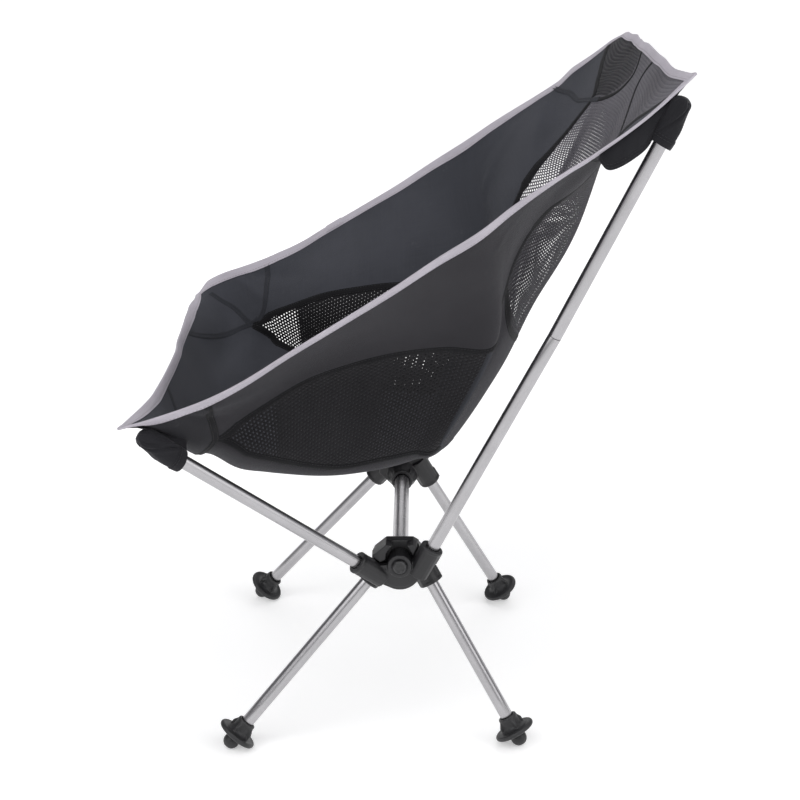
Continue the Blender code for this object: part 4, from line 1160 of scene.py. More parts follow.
def pocket(name, side, tip, back, length, lean, node, on, swell, seed, end=3.4):
    """Sewn sleeve over a pole tip: gathered at its end, hemmed at its mouth."""
    tip, back, lean = tip.copy(), back.copy(), Vector(lean)
    lean.x *= side
    d, ex, ey = basis(tip - back, lean)
    steps, around = 72, 64
    hs = np.linspace(-length, end, steps)
    ring_o, ring_i = [], []
    r = np.random.default_rng(seed)
    ph = r.uniform(0, 6.28, 6)
    th = np.linspace(0, 2 * math.pi, around, endpoint=False)
    for h in hs:
        s = (h + length) / (length + end)
        close = math.sqrt(max(1 - max(0.0, (h + 3.6) / (end + 3.6)) ** 2, 0.0))
        a = (9.3 + swell * math.sin(math.pi * min(s * 1.05, 1)) ** 0.8) * close + 0.35
        b = (9.5 + 1.25 * swell * math.sin(math.pi * min(s * 1.05, 1)) ** 0.8) * close + 0.35
        hem = 0.75 * float(bump(np.array([h + length]), 0.3, 8.2, 0.7)[0])
        crease = (0.55 * np.sin(3 * th + ph[0] + s * 3.0) + 0.38 * np.sin(5 * th + ph[1] - s * 5.0)
                  + 0.18 * np.sin(9 * th + ph[2] + s * 9.0)) * (0.35 + 0.65 * s) * min(1.0, close * 1.4)
        for k, turn in enumerate((1.7, -2.3, 2.9, -1.4)):
            away = np.abs((th - ph[k] - turn * s + math.pi) % (2 * math.pi) - math.pi)
            fall = smooth(np.array([s]), 0.14, 0.34)[0] * (1 - smooth(np.array([s]), 0.82, 0.98)[0])
            crease = crease + (0.75 * np.exp(-((away - 0.26) / 0.17) ** 2) - 1.0 * np.exp(-(away / 0.12) ** 2)) * fall
        gather = 0.55 * np.cos(13 * th + ph[3]) * smooth(np.array([s]), 0.78, 0.95)[0] * close
        skew = 2.6 * np.cos(th - 0.6) * (1 - s) if h < -length + 12 else 2.6 * np.cos(th - 0.6) * (1 - s)
        ca, sa = np.cos(th), np.sin(th)
        flat = 1 - 0.10 * np.clip(sa, 0, 1) ** 2
        slim = 1 - 0.24 * smooth(np.array([s]), 0.30, 0.85)[0] * np.clip(-sa * 1.6, 0, 1)
        rad_a, rad_b = (a + hem + crease + gather) * flat * slim, (b + hem + crease + gather) * slim
        pts = []
        for k in range(around):
            q = (tip + d * (h + skew[k] * 0.6) * MM + ey * (rad_a[k] * ca[k]) * MM + ex * (rad_b[k] * sa[k]) * MM)
            pts.append(tuple(q))
        ring_o.append(pts)
        inner_r = max(min(a, b) - 1.9, 0.2) if h < end - 2.4 else 0.2
        inner_r = max(inner_r, 0.25)
        pts = []
        for k in range(around):
            q = (tip + d * (min(h, end - 2.2) + skew[k] * 0.6) * MM
                 + ey * (min(inner_r, rad_a[k] - 0.8) * ca[k]) * MM + ex * (min(inner_r, rad_b[k] - 0.8) * sa[k]) * MM)
            pts.append(tuple(q))
        ring_i.append(pts)
    O, I = np.array(ring_o), np.array(ring_i[:-6])
    nr = len(O)
    verts = np.concatenate([O.reshape(-1, 3), I.reshape(-1, 3)])
    q = [grid_quads(nr, around, wrap_c=True), grid_quads(len(I), around, nr * around, True, wrap_c=True)]
    k = np.arange(around)
    k2 = (k + 1) % around
    base = nr * around
    q.append(np.stack([base + k, base + k2, k2, k], -1))
    last = (nr - 1) * around
    half = around // 2
    cap = [[last + j, last + (j + 1), last + (around - 2 - j), last + (around - 1 - j)] for j in range(half - 1)]
    q.append(np.array(cap))
    il = base + (len(I) - 1) * around
    cap = [[il + (around - 1 - j), il + (around - 2 - j), il + j + 1, il + j] for j in range(half - 1)]
    q.append(np.array(cap))
    quads = np.concatenate(q)
    a, b, c = verts[quads[0, 0]], verts[quads[0, 1]], verts[quads[0, 2]]
    out = np.array((a + b + c) / 3) - np.array(tip + d * hs[0] * MM)
    if np.dot(np.cross(b - a, c - a), out) < 0:
        quads = quads[:, ::-1]
    arc = np.linspace(0, 0.07, around)
    uvo = np.stack([np.broadcast_to(arc[None], (nr, around)), np.broadcast_to(hs[:, None] * MM, (nr, around))], -1)
    uv = np.concatenate([uvo.reshape(-1, 2), uvo[:len(I)].reshape(-1, 2)])
    obj = make_mesh(name, verts, quads, uv, MAT_PATCH, auto=60)
    riding(obj)
    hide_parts(node)
    pieces_on[on].append(obj)
    # two rows of stitches round the hem
    cs, al, up = [], [], []
    centre = np.array([tip + d * h * MM for h in hs])
    for at in (6.6, 9.0):
        idx = int(np.argmin(abs(hs + length - at)))
        loop = O[idx]
        n = 22
        t = np.linspace(0, around, n, endpoint=False)
        pts = np.stack([np.interp(t, np.arange(around + 1), np.append(loop[:, c], loop[0, c])) for c in range(3)], -1)
        nxt = np.roll(pts, -1, 0)
        mid = pts * 0.75 + nxt * 0.25
        outward = mid - centre[idx]
        outward -= np.outer(outward @ np.array(d), np.array(d))
        outward /= np.linalg.norm(outward, axis=1, keepdims=True)
        cs.append(mid + outward * 0.00010)
        al.append(nxt - pts)
        up.append(outward)
    return obj, np.concatenate(cs), np.concatenate(al), np.concatenate(up)


def gusset(name, side, tip, back, span, u0, u1, v_at, lean, on, sag):
    """Cloth that joins a pocket to the sling: from a line on the sling to the sleeve."""
    lean = Vector(lean)
    lean.x *= side
    d, ex, ey = basis(tip - back, lean)
    n, m = 40, 14
    t = np.linspace(0, 1, n)
    uu = u0 + (u1 - u0) * t
    vv = (np.asarray(v_at[0]) + (v_at[1] - v_at[0]) * t) * side
    p, su, sv, nn = frame_at(uu, vv)
    A = p - nn * 0.0006
    B = np.array([tip + d * (3.0 - (span + 3.0) * x) * MM + ex * 9.4 * MM for x in t])
    cols = []
    for j in range(m):
        w = j / (m - 1)
        bow = math.sin(math.pi * w) * sag * np.sin(math.pi * np.clip(t, 0, 1)) ** 0.5
        crease = 0.35 * np.sin(t * 21 + 2.5 * w) * math.sin(math.pi * w)
        cols.append(A * (1 - w) + B * w + np.array(ey * side)[None] * ((bow + crease) * MM)[:, None])
    G = np.stack(cols, 1)
    nrm = np.cross(np.gradient(G, axis=1), np.gradient(G, axis=0))
    nrm /= np.maximum(np.linalg.norm(nrm, axis=-1, keepdims=True), 1e-12)
    h = 0.0004
    verts = np.concatenate([(G + nrm * h).reshape(-1, 3), (G - nrm * h).reshape(-1, 3)])
    k = n * m
    quads = [grid_quads(n, m), grid_quads(n, m, k, True)]
    a = np.arange(m - 1)
    quads.append(np.stack([a + 1, a, a + k, a + 1 + k], -1))
    b = a + (n - 1) * m
    quads.append(np.stack([b, b + 1, b + 1 + k, b + k], -1))
    r = np.arange(n - 1) * m
    quads.append(np.stack([r, r + m, r + m + k, r + k], -1))
    r = r + m - 1
    quads.append(np.stack([r + m, r, r + k, r + m + k], -1))
    x, y = np.meshgrid(np.linspace(0, 0.014, m), t * span * MM)
    uv = np.stack([x, y], -1).reshape(-1, 2)
    obj = make_mesh(name, verts, np.concatenate(quads), np.concatenate([uv, uv]), MAT_PATCH, auto=60)
    riding(obj)
    pieces_on[on].append(obj)
    return obj


def flap(name, side, tip, back, mouth, lean, low, on):
    """The pocket's base: cloth that hangs from the rim near the tip and runs into the sleeve."""
    lean = Vector((lean[0] * side, lean[1], lean[2]))
    d, ex, ey = basis(tip - back, lean)
    n, m = 76, 18
    pts = [tip + d * 1.0 * MM + ex * 8.6 * MM, tip - d * mouth * 0.5 * MM + ex * 9.9 * MM,
           tip - d * mouth * MM + ex * 8.4 * MM] + [point(q, side) for q in low]
    q = np.array([tuple(x) for x in pts])
    ext = np.concatenate([[2 * q[0] - q[1]], q, [2 * q[-1] - q[-2]]])
    curve = []
    for x in np.linspace(0, len(q) - 1, 300):
        k = min(int(x), len(q) - 2)
        f = x - k
        p0, p1, p2, p3 = ext[k:k + 4]
        curve.append(0.5 * (2 * p1 + (p2 - p0) * f + (2 * p0 - 5 * p1 + 4 * p2 - p3) * f * f
                            + (3 * p1 - p0 - 3 * p2 + p3) * f ** 3))
    curve = np.array(curve)
    arc = np.concatenate([[0], np.cumsum(np.linalg.norm(np.diff(curve, axis=0), axis=1))])
    t = np.linspace(0, 1, n)
    B = np.stack([np.interp(t * arc[-1], arc, curve[:, c]) for c in range(3)], -1)
    uu = 0.992 + (0.862 - 0.992) * t ** 1.05
    p, su, sv, nn = frame_at(uu, np.full(n, 0.982 * side))
    A = p - nn * 0.0011
    cols = []
    for j in range(m):
        w = j / (m - 1)
        bow = math.sin(math.pi * w) ** 0.8 * (2.6 * np.sin(math.pi * np.clip(t * 1.05, 0, 1)) ** 0.6 + 0.5)
        fold = (0.55 * np.sin(t * 23 + 3.1 * w + 0.7) + 0.35 * np.sin(t * 41 - 4.0 * w)) * (0.25 + 0.75 * math.sin(math.pi * w))
        hem = 0.45 * (w > 0.80)
        away = np.array([side * 1.0, 0.0, 0.0])
        cols.append(A * (1 - w) + B * w + away[None] * ((bow + fold * np.clip(t * 6, 0, 1) + hem) * MM)[:, None])
    G = np.stack(cols, 1)
    nrm = np.cross(np.gradient(G, axis=1), np.gradient(G, axis=0))
    nrm /= np.maximum(np.linalg.norm(nrm, axis=-1, keepdims=True), 1e-12)
    if (nrm[:, :, 0] * side).mean() < 0:
        nrm = -nrm
        flip = True
    else:
        flip = False
    h = 0.00045
    verts = np.concatenate([(G + nrm * h).reshape(-1, 3), (G - nrm * h).reshape(-1, 3)])
    k = n * m
    quads = [grid_quads(n, m), grid_quads(n, m, k, True)]
    a = np.arange(m - 1)
    quads.append(np.stack([a + 1, a, a + k, a + 1 + k], -1))
    b = a + (n - 1) * m
    quads.append(np.stack([b, b + 1, b + 1 + k, b + k], -1))
    r = np.arange(n - 1) * m
    quads.append(np.stack([r, r + m, r + m + k, r + k], -1))
    r = r + m - 1
    quads.append(np.stack([r + m, r, r + k, r + m + k], -1))
    quads = np.concatenate(quads)
    if flip:
        quads = quads[:, ::-1]
    x = np.linspace(0, 0.03, m)[None] * np.ones((n, 1))
    y = (t * arc[-1])[:, None] * np.ones((1, m))
    uv = np.stack([x, y], -1).reshape(-1, 2)
    obj = make_mesh(name, verts, quads, np.concatenate([uv, uv]), MAT_PATCH, auto=60)
    me = obj.data
    if sum(p.area * p.normal.x for p in me.polygons[:(n - 1) * (m - 1)]) * side < 0:
        me.flip_normals()
    riding(obj)
    pieces_on[on].append(obj)
    # two rows of stitches along the free edge
    rows = []
    for j in (m - 5, m - 3):
        line = G[:, j] + nrm[:, j] * 0.00062
        keep = t > 0.36
        c = line[keep]
        s_ = np.concatenate([[0], np.cumsum(np.linalg.norm(np.diff(c, axis=0), axis=1))])
        q_ = np.arange(0.001, s_[-1] - 0.001, 0.0033)
        cc = np.stack([np.interp(q_, s_, c[:, a_]) for a_ in range(3)], -1)
        al = np.gradient(cc, axis=0)
        up = np.stack([np.interp(q_, s_, nrm[keep, j][:, a_]) for a_ in range(3)], -1)
        rows.append((cc, al, up))
    return rows


hem_c, hem_a, hem_u = [], [], []
for side, word in SIDES:
    m, t = point(ARM_FRONT, side), point(TIP_FRONT, side)
    d = (t - m).normalized()
    tip = t + d * 3.6 * MM
    got = pocket(word + "_front_sleeve", side, tip, m, 45.0, (0, 0.6, 0.8), word + "_front_pocket", word, 1.3, 11 + side)
    hem_c.append(got[1]); hem_a.append(got[2]); hem_u.append(got[3])
    gusset(word + "_front_gusset", side, tip, m, 44.0, 0.004, 0.088, (0.985, 0.80), (0, 0.6, 0.8), word, 1.8)
    j, t = point(BACK_JOINT, side), point(TIP_REAR, side)
    d = (t - j).normalized()
    tip = t + d * (3.4 if side > 0 else 2.2) * MM
    got = pocket(word + "_back_sleeve", side, tip, j, 43.0, (0, -0.9, 0.4), word + "_back_pocket", word, 1.2, 21 + side,
                 3.0 if side > 0 else 1.8)
    hem_c.append(got[1]); hem_a.append(got[2]); hem_u.append(got[3])
    for row in flap(word + "_back_flap", side, tip, j, 47.5, (0, -0.9, 0.4),
                    ((207.0, 229.5, 591.0), (211.0, 214.0, 583.0), (213.0, 205.0, 583.0), (214.2, 198.0, 592.0)), word):
        hem_c.append(row[0]); hem_a.append(row[1]); hem_u.append(row[2])
hem = riding(beads("pocket_stitches", np.concatenate(hem_c), np.concatenate(hem_a), np.concatenate(hem_u),
                   1.2 * MM, 0.23 * MM, MAT_THREAD))


# ---------------------------------------------------------------------------------
# tubes
# ---------------------------------------------------------------------------------
def revolve(name, profile, base, direction, mat, segs=64, body=None, auto=40, spin=0.0):
    """Turned part: profile of (radius, height) in mm, closed at the axis or as a loop."""
    d = direction.normalized()
    x = Vector((1, 0, 0)) if abs(d.x) < 0.8 else Vector((0, 1, 0))
    x = (x - d * x.dot(d)).normalized()
    y = d.cross(x)
    pr = np.array(profile, float)
    r, h = pr[:, 0], pr[:, 1]
    a = np.linspace(0, 2 * math.pi, segs, endpoint=False) + spin
    D, X, Y, B = (np.array(w) for w in (d, x, y, base))
    P = (B[None, None] + h[:, None, None] * MM * D
         + (np.maximum(r, 0.02)[:, None] * MM * np.cos(a)[None])[..., None] * X
         + (np.maximum(r, 0.02)[:, None] * MM * np.sin(a)[None])[..., None] * Y)
    n = len(pr)
    closed = r[0] > 0 and r[-1] > 0
    q = [grid_quads(n, segs, wrap_c=True, wrap_r=closed)]
    if not closed:
        half = segs // 2
        for row, turn in ((0, False), (n - 1, True)):
            o = row * segs
            cap = np.array([[o + j, o + j + 1, o + segs - 2 - j, o + segs - 1 - j] for j in range(half - 1)])
            q.append(cap if turn else cap[:, ::-1])
    quads = np.concatenate(q)
    # outward: signed volume
    V = P.reshape(-1, 3) - B
    tri = V[quads]
    vol = np.einsum("ij,ij->i", tri[:, 0], np.cross(tri[:, 1], tri[:, 2])).sum() \
        + np.einsum("ij,ij->i", tri[:, 0], np.cross(tri[:, 2], tri[:, 3])).sum()
    if vol < 0:
        quads = quads[:, ::-1]
    arc = np.concatenate([[0], np.cumsum(np.hypot(np.diff(r), np.diff(h)))]) * MM
    uv = np.stack([np.broadcast_to((a * 6.35 * MM)[None], (n, segs)), np.broadcast_to(arc[:, None], (n, segs))], -1)
    obj = make_mesh(name, P.reshape(-1, 3), quads, uv.reshape(-1, 2), mat, auto=auto)
    if body:
        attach(obj, body)
    return obj


def tube(name, start, end, r, wall, body, node, lip0=0.0, lip1=0.0, segs=64):
    length = (end - start).length / MM
    ri = r - wall
    c = 0.28
    outer = [(r - c, 0.0), (r - c * 0.3, c * 0.3), (r, c)]
    if lip0:
        outer += [(r, 1.6), (r + lip0, 2.0), (r + lip0, 4.2), (r, 4.7)]
    outer += [(r, c + (length - 2 * c) * k / 6) for k in range(1, 6)]
    if lip1:
        outer += [(r, length - 4.7), (r + lip1, length - 4.2), (r + lip1, length - 2.0), (r, length - 1.6)]
    outer += [(r, length - c), (r - c * 0.3, length - c * 0.3), (r - c, length)]
    inner = [(ri + 0.12, length), (ri, length - 0.15)] + [(ri, 0.15), (ri + 0.12, 0.0)]
    obj = revolve(name, outer + inner, start, end - start, MAT_TUBE, segs, body)
    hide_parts(node)
    return obj


bar0, bar1 = point((-BAR_END, BAR_Y, BAR_Z)), point((BAR_END, BAR_Y, BAR_Z))
tube("spreader_tube", bar0, bar1, BAR_R, 1.0, "base", "spreader_bar")
legs = {}
for side, word in SIDES:
    m, t = point(ARM_FRONT, side), point(TIP_FRONT, side)
    d = (t - m).normalized()
    tube(word + "_front_pole_tube", m - d * INSERT * MM, t, TUBE_R, TUBE_WALL, "seat_frame", word + "_front_pole")
    m, j, t = point(ARM_REAR, side), point(BACK_JOINT, side), point(TIP_REAR, side)
    d0, d1 = (j - m).normalized(), (t - j).normalized()
    tube(word + "_lower_back_tube", m - d0 * INSERT * MM, j - d0 * 0.15 * MM, TUBE_R, TUBE_WALL, "seat_frame",
         word + "_back_pole_lower")
    tube(word + "_upper_back_tube", j + d1 * 0.3 * MM, t, TUBE_R, TUBE_WALL, "seat_frame", word + "_back_pole_upper")
    for where in ("front", "rear"):
        body = f"{word}_{where}_leg_assembly"
        f, m = point(FOOT[where], side), point(SOCKET[where], side)
        d = (m - f).normalized()
        tube(f"{word}_{where}_leg_tube", f + d * 14 * MM, m + d * INSERT * MM, TUBE_R, TUBE_WALL, body,
             f"{word}_{where}_leg")
        legs[body] = (f, m, d, side, word, where)


# ---------------------------------------------------------------------------------
# feet
# ---------------------------------------------------------------------------------
def foot(name, f, d, body, node, side):
    """Ball, dished flange with a soft lip, ribbed neck and a lugged collar."""
    prof = [(0.0, -7.4)]
    for i in range(1, 15):
        a = math.radians(-90 + 17 + i * 9.6)
        prof.append((8.0 * math.cos(a), 8.0 * math.sin(a)))
    prof += [(7.7, 5.8), (8.2, 6.7), (10.5, 7.25), (15.0, 6.75), (18.4, 6.6), (19.7, 7.2), (20.2, 8.3),
             (20.2, 9.6), (19.8, 10.6), (19.0, 11.3), (17.6, 11.5), (14.5, 11.3), (12.0, 11.9), (10.2, 13.2),
             (9.4, 14.8), (9.15, 16.6), (9.1, 21.0), (9.35, 21.6), (9.35, 24.2), (8.9, 24.9), (8.1, 25.05),
             (6.9, 25.0), (6.75, 24.7), (6.75, 13.8), (6.0, 13.6), (0.0, 13.6)]
    obj = revolve(name + "_core", prof, f, d, MAT_FOOT, 72, auto=35)
    bm = bmesh.new()
    bm.from_mesh(obj.data)
    ax = np.array(d)
    x = Vector((0, 0, 1)) - d * d.z
    x = x.normalized()
    y = d.cross(x)
    # four lugs on the collar and a ring of short webs between collar and flange
    for k in range(4):
        a = math.radians(45 + 90 * k)
        out = x * math.cos(a) + y * math.sin(a)
        tang = d.cross(out)
        pts = []
        for rr, h0, h1, half in ((8.2, 12.4, 24.0, 2.0), (12.6, 12.2, 17.0, 1.15)):
            for s in (-1, 1):
                for h in (h0, h1):
                    pts.append(f + (out * rr + tang * half * s + d * h) * MM)
        vs = [bm.verts.new(p) for p in pts]
        for q in ((0, 1, 3, 2), (4, 6, 7, 5), (0, 4, 5, 1), (2, 3, 7, 6), (0, 2, 6, 4), (1, 5, 7, 3)):
            bm.faces.new([vs[i] for i in q])
    for k in range(10):
        a = math.radians(36 * k + 9)
        out = x * math.cos(a) + y * math.sin(a)
        tang = d.cross(out)
        pts = []
        for rr, h0, h1, half in ((8.4, 6.4, 8.0, 0.7), (17.6, 6.1, 8.0, 0.55)):
            for s in (-1, 1):
                for h in (h0, h1):
                    pts.append(f + (out * rr + tang * half * s + d * h) * MM)
        vs = [bm.verts.new(p) for p in pts]
        for q in ((0, 1, 3, 2), (4, 6, 7, 5), (0, 4, 5, 1), (2, 3, 7, 6), (0, 2, 6, 4), (1, 5, 7, 3)):
            bm.faces.new([vs[i] for i in q])
    bmesh.ops.recalc_face_normals(bm, faces=bm.faces)
    bm.to_mesh(obj.data)
    bm.free()
    out = remeshed(obj, name, 0.55 * MM, 5, MAT_FOOT, floor=True)
    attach(out, body)
    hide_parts(node)
    return out


def remeshed(obj, name, voxel, rounds, mat, floor=False, keep=None):
    """Voxel remesh and gentle smoothing: gives moulded parts their filleted look."""
    bpy.ops.object.select_all(action="DESELECT")
    obj.select_set(True)
    bpy.context.view_layer.objects.active = obj
    mod = obj.modifiers.new("remesh", "REMESH")
    mod.mode = "VOXEL"
    mod.voxel_size = voxel * 1.0
    mod.use_smooth_shade = True
    sm = obj.modifiers.new("smooth", "SMOOTH")
    sm.factor, sm.iterations = 0.5, rounds
    dg = bpy.context.evaluated_depsgraph_get()
    me = bpy.data.meshes.new_from_object(obj.evaluated_get(dg))
    old = obj.data
    bpy.data.objects.remove(obj, do_unlink=True)
    if old.users == 0:
        bpy.data.meshes.remove(old)
    me.name = name
    co = np.zeros(len(me.vertices) * 3, np.float32)
    me.vertices.foreach_get("co", co)
    co = co.reshape(-1, 3)
    if not floor:                        # the remesh grows the part a little: take it back
        nor = np.zeros(len(me.vertices) * 3, np.float32)
        me.vertices.foreach_get("normal", nor)
        co = co - nor.reshape(-1, 3) * np.float32(0.20 * MM)
    if floor:
        co[:, 2] = np.maximum(co[:, 2], 0.0)
    me.vertices.foreach_set("co", co.ravel())
    me.materials.clear()
    me.materials.append(mat)
    me.update()
    me.shade_smooth()
    new = bpy.data.objects.new(name, me)
    bpy.context.scene.collection.objects.link(new)
    return new


for body, (f, m, d, side, word, where) in legs.items():
    foot(f"{word}_{where}_foot_moulding", f, d, body, f"{word}_{where}_foot", side)


# ---------------------------------------------------------------------------------
# hubs and yokes
# ---------------------------------------------------------------------------------
def add_ring(bm, base, direction, r0, r1, h0, h1, segs=48):
    """A closed plain ring or disc (r0 = 0) added to bm."""
    d = direction.normalized()
    x = Vector((1, 0, 0)) if abs(d.x) < 0.8 else Vector((0, 1, 0))
    x = (x - d * x.dot(d)).normalized()
    y = d.cross(x)
    rings = []
    for r, h in ((r0, h0), (r1, h0), (r1, h1), (r0, h1)):
        rings.append([bm.verts.new(base + (d * h + x * max(r, 0.3) * math.cos(a) + y * max(r, 0.3) * math.sin(a)) * MM)
                      for a in (2 * math.pi * k / segs for k in range(segs))])
    for a in range(4):
        A, B = rings[a], rings[(a + 1) % 4]
        for k in range(segs):
            bm.faces.new((A[k], A[(k + 1) % segs], B[(k + 1) % segs], B[k]))


def add_box(bm, centre, ax, ay, az, sx, sy, sz, taper=1.0):
    pts = []
    for k in (-1, 1):
        for j in (-1, 1):
            for i in (-1, 1):
                t = taper if k > 0 else 1.0
                pts.append(centre + (ax * i * sx * t + ay * j * sy * t + az * k * sz) * (0.5 * MM))
    v = [bm.verts.new(p) for p in pts]
    for q in ((0, 1, 3, 2), (4, 6, 7, 5), (0, 4, 5, 1), (2, 3, 7, 6), (0, 2, 6, 4), (1, 5, 7, 3)):
        bm.faces.new([v[i] for i in q])


def moulding(node, name, extra, voxel=0.62 * MM, rounds=5):
    me = NODES[node].data.copy()
    obj = bpy.data.objects.new(name + "_raw", me)
    bpy.context.scene.collection.objects.link(obj)
    bm = bmesh.new()
    bm.from_mesh(me)
    bmesh.ops.remove_doubles(bm, verts=bm.verts, dist=1e-6)
    more = bmesh.new()
    extra(more)
    bmesh.ops.recalc_face_normals(more, faces=more.faces)
    tmp = bpy.data.meshes.new("tmp")
    more.to_mesh(tmp)
    more.free()
    bm.from_mesh(tmp)
    bpy.data.meshes.remove(tmp)
    bm.to_mesh(me)
    bm.free()
    out = remeshed(obj, name, voxel, rounds, MAT_NYLON)
    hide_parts(node)
    return out


for side, word in SIDES:
    X = Vector((side, 0, 0))

    def hub_extra(bm, side=side):
        for where in ("front", "rear"):
            f, m = point(FOOT[where], side), point(SOCKET[where], side)
            d = (m - f).normalized()
            add_ring(bm, m, d, TUBE_R + 0.42, SOCKET_R + 0.55, 0.0, 3.0)
            across = d.cross(Vector((side, 0, 0))).normalized()
            for s in (1, -1):
                add_box(bm, m + d * 7 * MM + across * (SOCKET_R + 0.1) * s * MM, d, d.cross(across), across, 13, 3.4, 2.2)
        b = point((side * BAR_MOUTH, BAR_Y, BAR_Z))
        b = Vector((side * BAR_MOUTH * MM, b.y, b.z))
        add_ring(bm, b, Vector((side, 0, 0)), BAR_R + 0.42, 11.9, 0.0, 3.0)
        for k in range(4):
            a = math.radians(45 + 90 * k)
            out = Vector((0, math.cos(a), math.sin(a)))
            add_box(bm, b + Vector((side * 11 * MM, 0, 0)) + out * 11.6 * MM, Vector((side, 0, 0)),
                    Vector((side, 0, 0)).cross(out), out, 15, 2.2, 3.0)

    hub = moulding(word + "_leg_hub", word + "_hub_moulding", hub_extra)
    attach(hub, "base")

    def yoke_extra(bm, side=side):
        for mouth, far in ((ARM_FRONT, TIP_FRONT), (ARM_REAR, BACK_JOINT)):
            m, t = point(mouth, side), point(far, side)
            d = (t - m).normalized()
            add_ring(bm, m - d * 3.0 * MM, d, TUBE_R + 0.42, ARM_R + 0.55, 0.0, 3.0)
            across = d.cross(Vector((side, 0, 0))).normalized()
            for s in (1, -1):
                add_box(bm, m - d * 8 * MM + across * (ARM_R - 0.1) * s * MM, d, d.cross(across), across, 13, 3.0, 1.9)
        c = Vector((side * (JOIN_X + 19.4) * MM, (PIVOT[0] + Y_SHIFT) * MM, PIVOT[1] * MM))
        add_ring(bm, c, Vector((side, 0, 0)), 8.2, 11.2, 0.0, 1.3)
        # web under the boss: runs from the underside of one arm round to the other
        hub_c, hub_r, arm_r = (PIVOT[0], PIVOT[1] - 6.4), 20.6, ARM_R - 0.4
        outline = []
        for mouth, far, back_off in ((ARM_FRONT, TIP_FRONT, 9.0), (ARM_REAR, BACK_JOINT, 12.0)):
            d2 = (Vector(far) - Vector(mouth))
            d2 = Vector((d2.y, d2.z)).normalized()
            q = Vector((mouth[1], mouth[2])) - d2 * back_off
            # outer tangent of the two circles, on the lower side
            v = q - Vector(hub_c)
            dist = v.length
            base = math.atan2(v.y, v.x)
            off = math.acos(max(-1, min(1, (hub_r - arm_r) / dist)))
            ang = base + off if q.x < hub_c[0] else base - off
            outline.append((q, ang))
        (qa, aa), (qb, ab) = outline
        ring = [(qa.x, qa.y), (qa.x + arm_r * math.cos(aa), qa.y + arm_r * math.sin(aa))]
        a0, a1 = aa % (2 * math.pi), ab % (2 * math.pi)
        if a1 < a0:
            a1 += 2 * math.pi
        for k in range(17):
            a = a0 + (a1 - a0) * k / 16
            ring.append((hub_c[0] + hub_r * math.cos(a), hub_c[1] + hub_r * math.sin(a)))
        ring += [(qb.x + arm_r * math.cos(ab), qb.y + arm_r * math.sin(ab)), (qb.x, qb.y)]
        faces = []
        for x in (JOIN_X + 7.4, JOIN_X + 14.6):
            hub_v = bm.verts.new(Vector((side * x * MM, (PIVOT[0] + Y_SHIFT) * MM, PIVOT[1] * MM)))
            faces.append((hub_v, [bm.verts.new(Vector((side * x * MM, (y + Y_SHIFT) * MM, z * MM))) for y, z in ring]))
        for hub_v, vs in faces:
            for k in range(len(vs) - 1):
                bm.faces.new((hub_v, vs[k], vs[k + 1]))
        (h0, v0), (h1, v1) = faces
        for k in range(len(v0) - 1):
            bm.faces.new((v0[k], v0[k + 1], v1[k + 1], v1[k]))
        bm.faces.new((h0, v0[0], v1[0], h1))
        bm.faces.new((h0, v0[-1], v1[-1], h1))

    yoke = moulding(word + "_pole_yoke", word + "_yoke_moulding", yoke_extra)
    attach(yoke, "seat_frame")
    # button cap: domed rim with a dished middle
    base = Vector((side * (JOIN_X + 20.3) * MM, (PIVOT[0] + Y_SHIFT) * MM, PIVOT[1] * MM))
    cap = revolve(word + "_button_cap",
                  [(0, 0.0), (6.5, 0.0), (6.65, 0.25), (6.65, 1.35), (6.4, 2.0), (5.9, 2.5), (5.3, 2.75), (4.9, 2.65),
                   (4.4, 2.15), (3.9, 1.9), (2.0, 2.0), (0.9, 2.3), (0, 2.35)],
                  base, X, MAT_CAP, 64, "base", auto=50)
    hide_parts(word + "_pin_cap")


# ---------------------------------------------------------------------------------
# elastic cords inside the legs, as fixed meshes; on the real chair they stretch as a leg is pulled from its hub
# ---------------------------------------------------------------------------------
for body, (f, m, d, side, word, where) in legs.items():
    a, b = m + d * (INSERT + 0.5) * MM, f + d * 14.2 * MM
    span = (a - b).length
    n, seg = int(span / (1.5 * MM)), 14
    D = np.array((b - a).normalized())
    x = Vector((1, 0, 0)) if abs(d.x) < 0.8 else Vector((0, 1, 0))
    x = np.array((x - d * x.dot(d)).normalized())
    y = np.cross(D, x)
    t = np.linspace(0, span, n + 1)
    ang = np.linspace(0, 2 * math.pi, seg, endpoint=False)
    rad = 1.6 * MM * (1 - 0.05 * (np.sin(7 * ang[None] + t[:, None] / (0.9 * MM)) > 0.2))
    P = np.array(a) + t[:, None, None] * D + (rad * np.cos(ang)[None])[..., None] * x + (rad * np.sin(ang)[None])[..., None] * y
    caps = []
    for row, turn in ((0, True), (n, False)):
        o = row * seg
        c = np.array([[o + j, o + j + 1, o + seg - 2 - j, o + seg - 1 - j] for j in range(seg // 2 - 1)])
        caps.append(c[:, ::-1] if turn else c)
    q = np.concatenate([grid_quads(n + 1, seg, wrap_c=True, flip=True)] + [c[:, ::-1] for c in caps])
    uv = np.stack([np.broadcast_to(ang * 1.6 * MM, rad.shape), np.broadcast_to(t[:, None], rad.shape)], -1)
    cord = make_mesh(f"{word}_{where}_leg_elastic", P.reshape(-1, 3), q, uv.reshape(-1, 2), MAT_CORD)
    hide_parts(f"{word}_{where}_leg_cord")
    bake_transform(cord)


# ---------------------------------------------------------------------------------
# the cloth's area and flat size, worked out per panel; nothing is recorded
# ---------------------------------------------------------------------------------
def declare(area, size):
    w, l = size
    w, l = max(w, 0.012), max(l, 0.012)
    if area > w * l:
        k = math.sqrt(area / (w * l)) * 1.001
        w, l = w * k, l * k
    area = max(area, 0.3001 * w * l)


declare(seat[1], seat[2])
declare(lumbar[1], lumbar[2])
declare(back[1], back[3])
for side, word in SIDES:
    declare(side_cloth[word][1], side_cloth[word][2])
    g = hips[word]
    declare(g[1], g[3])


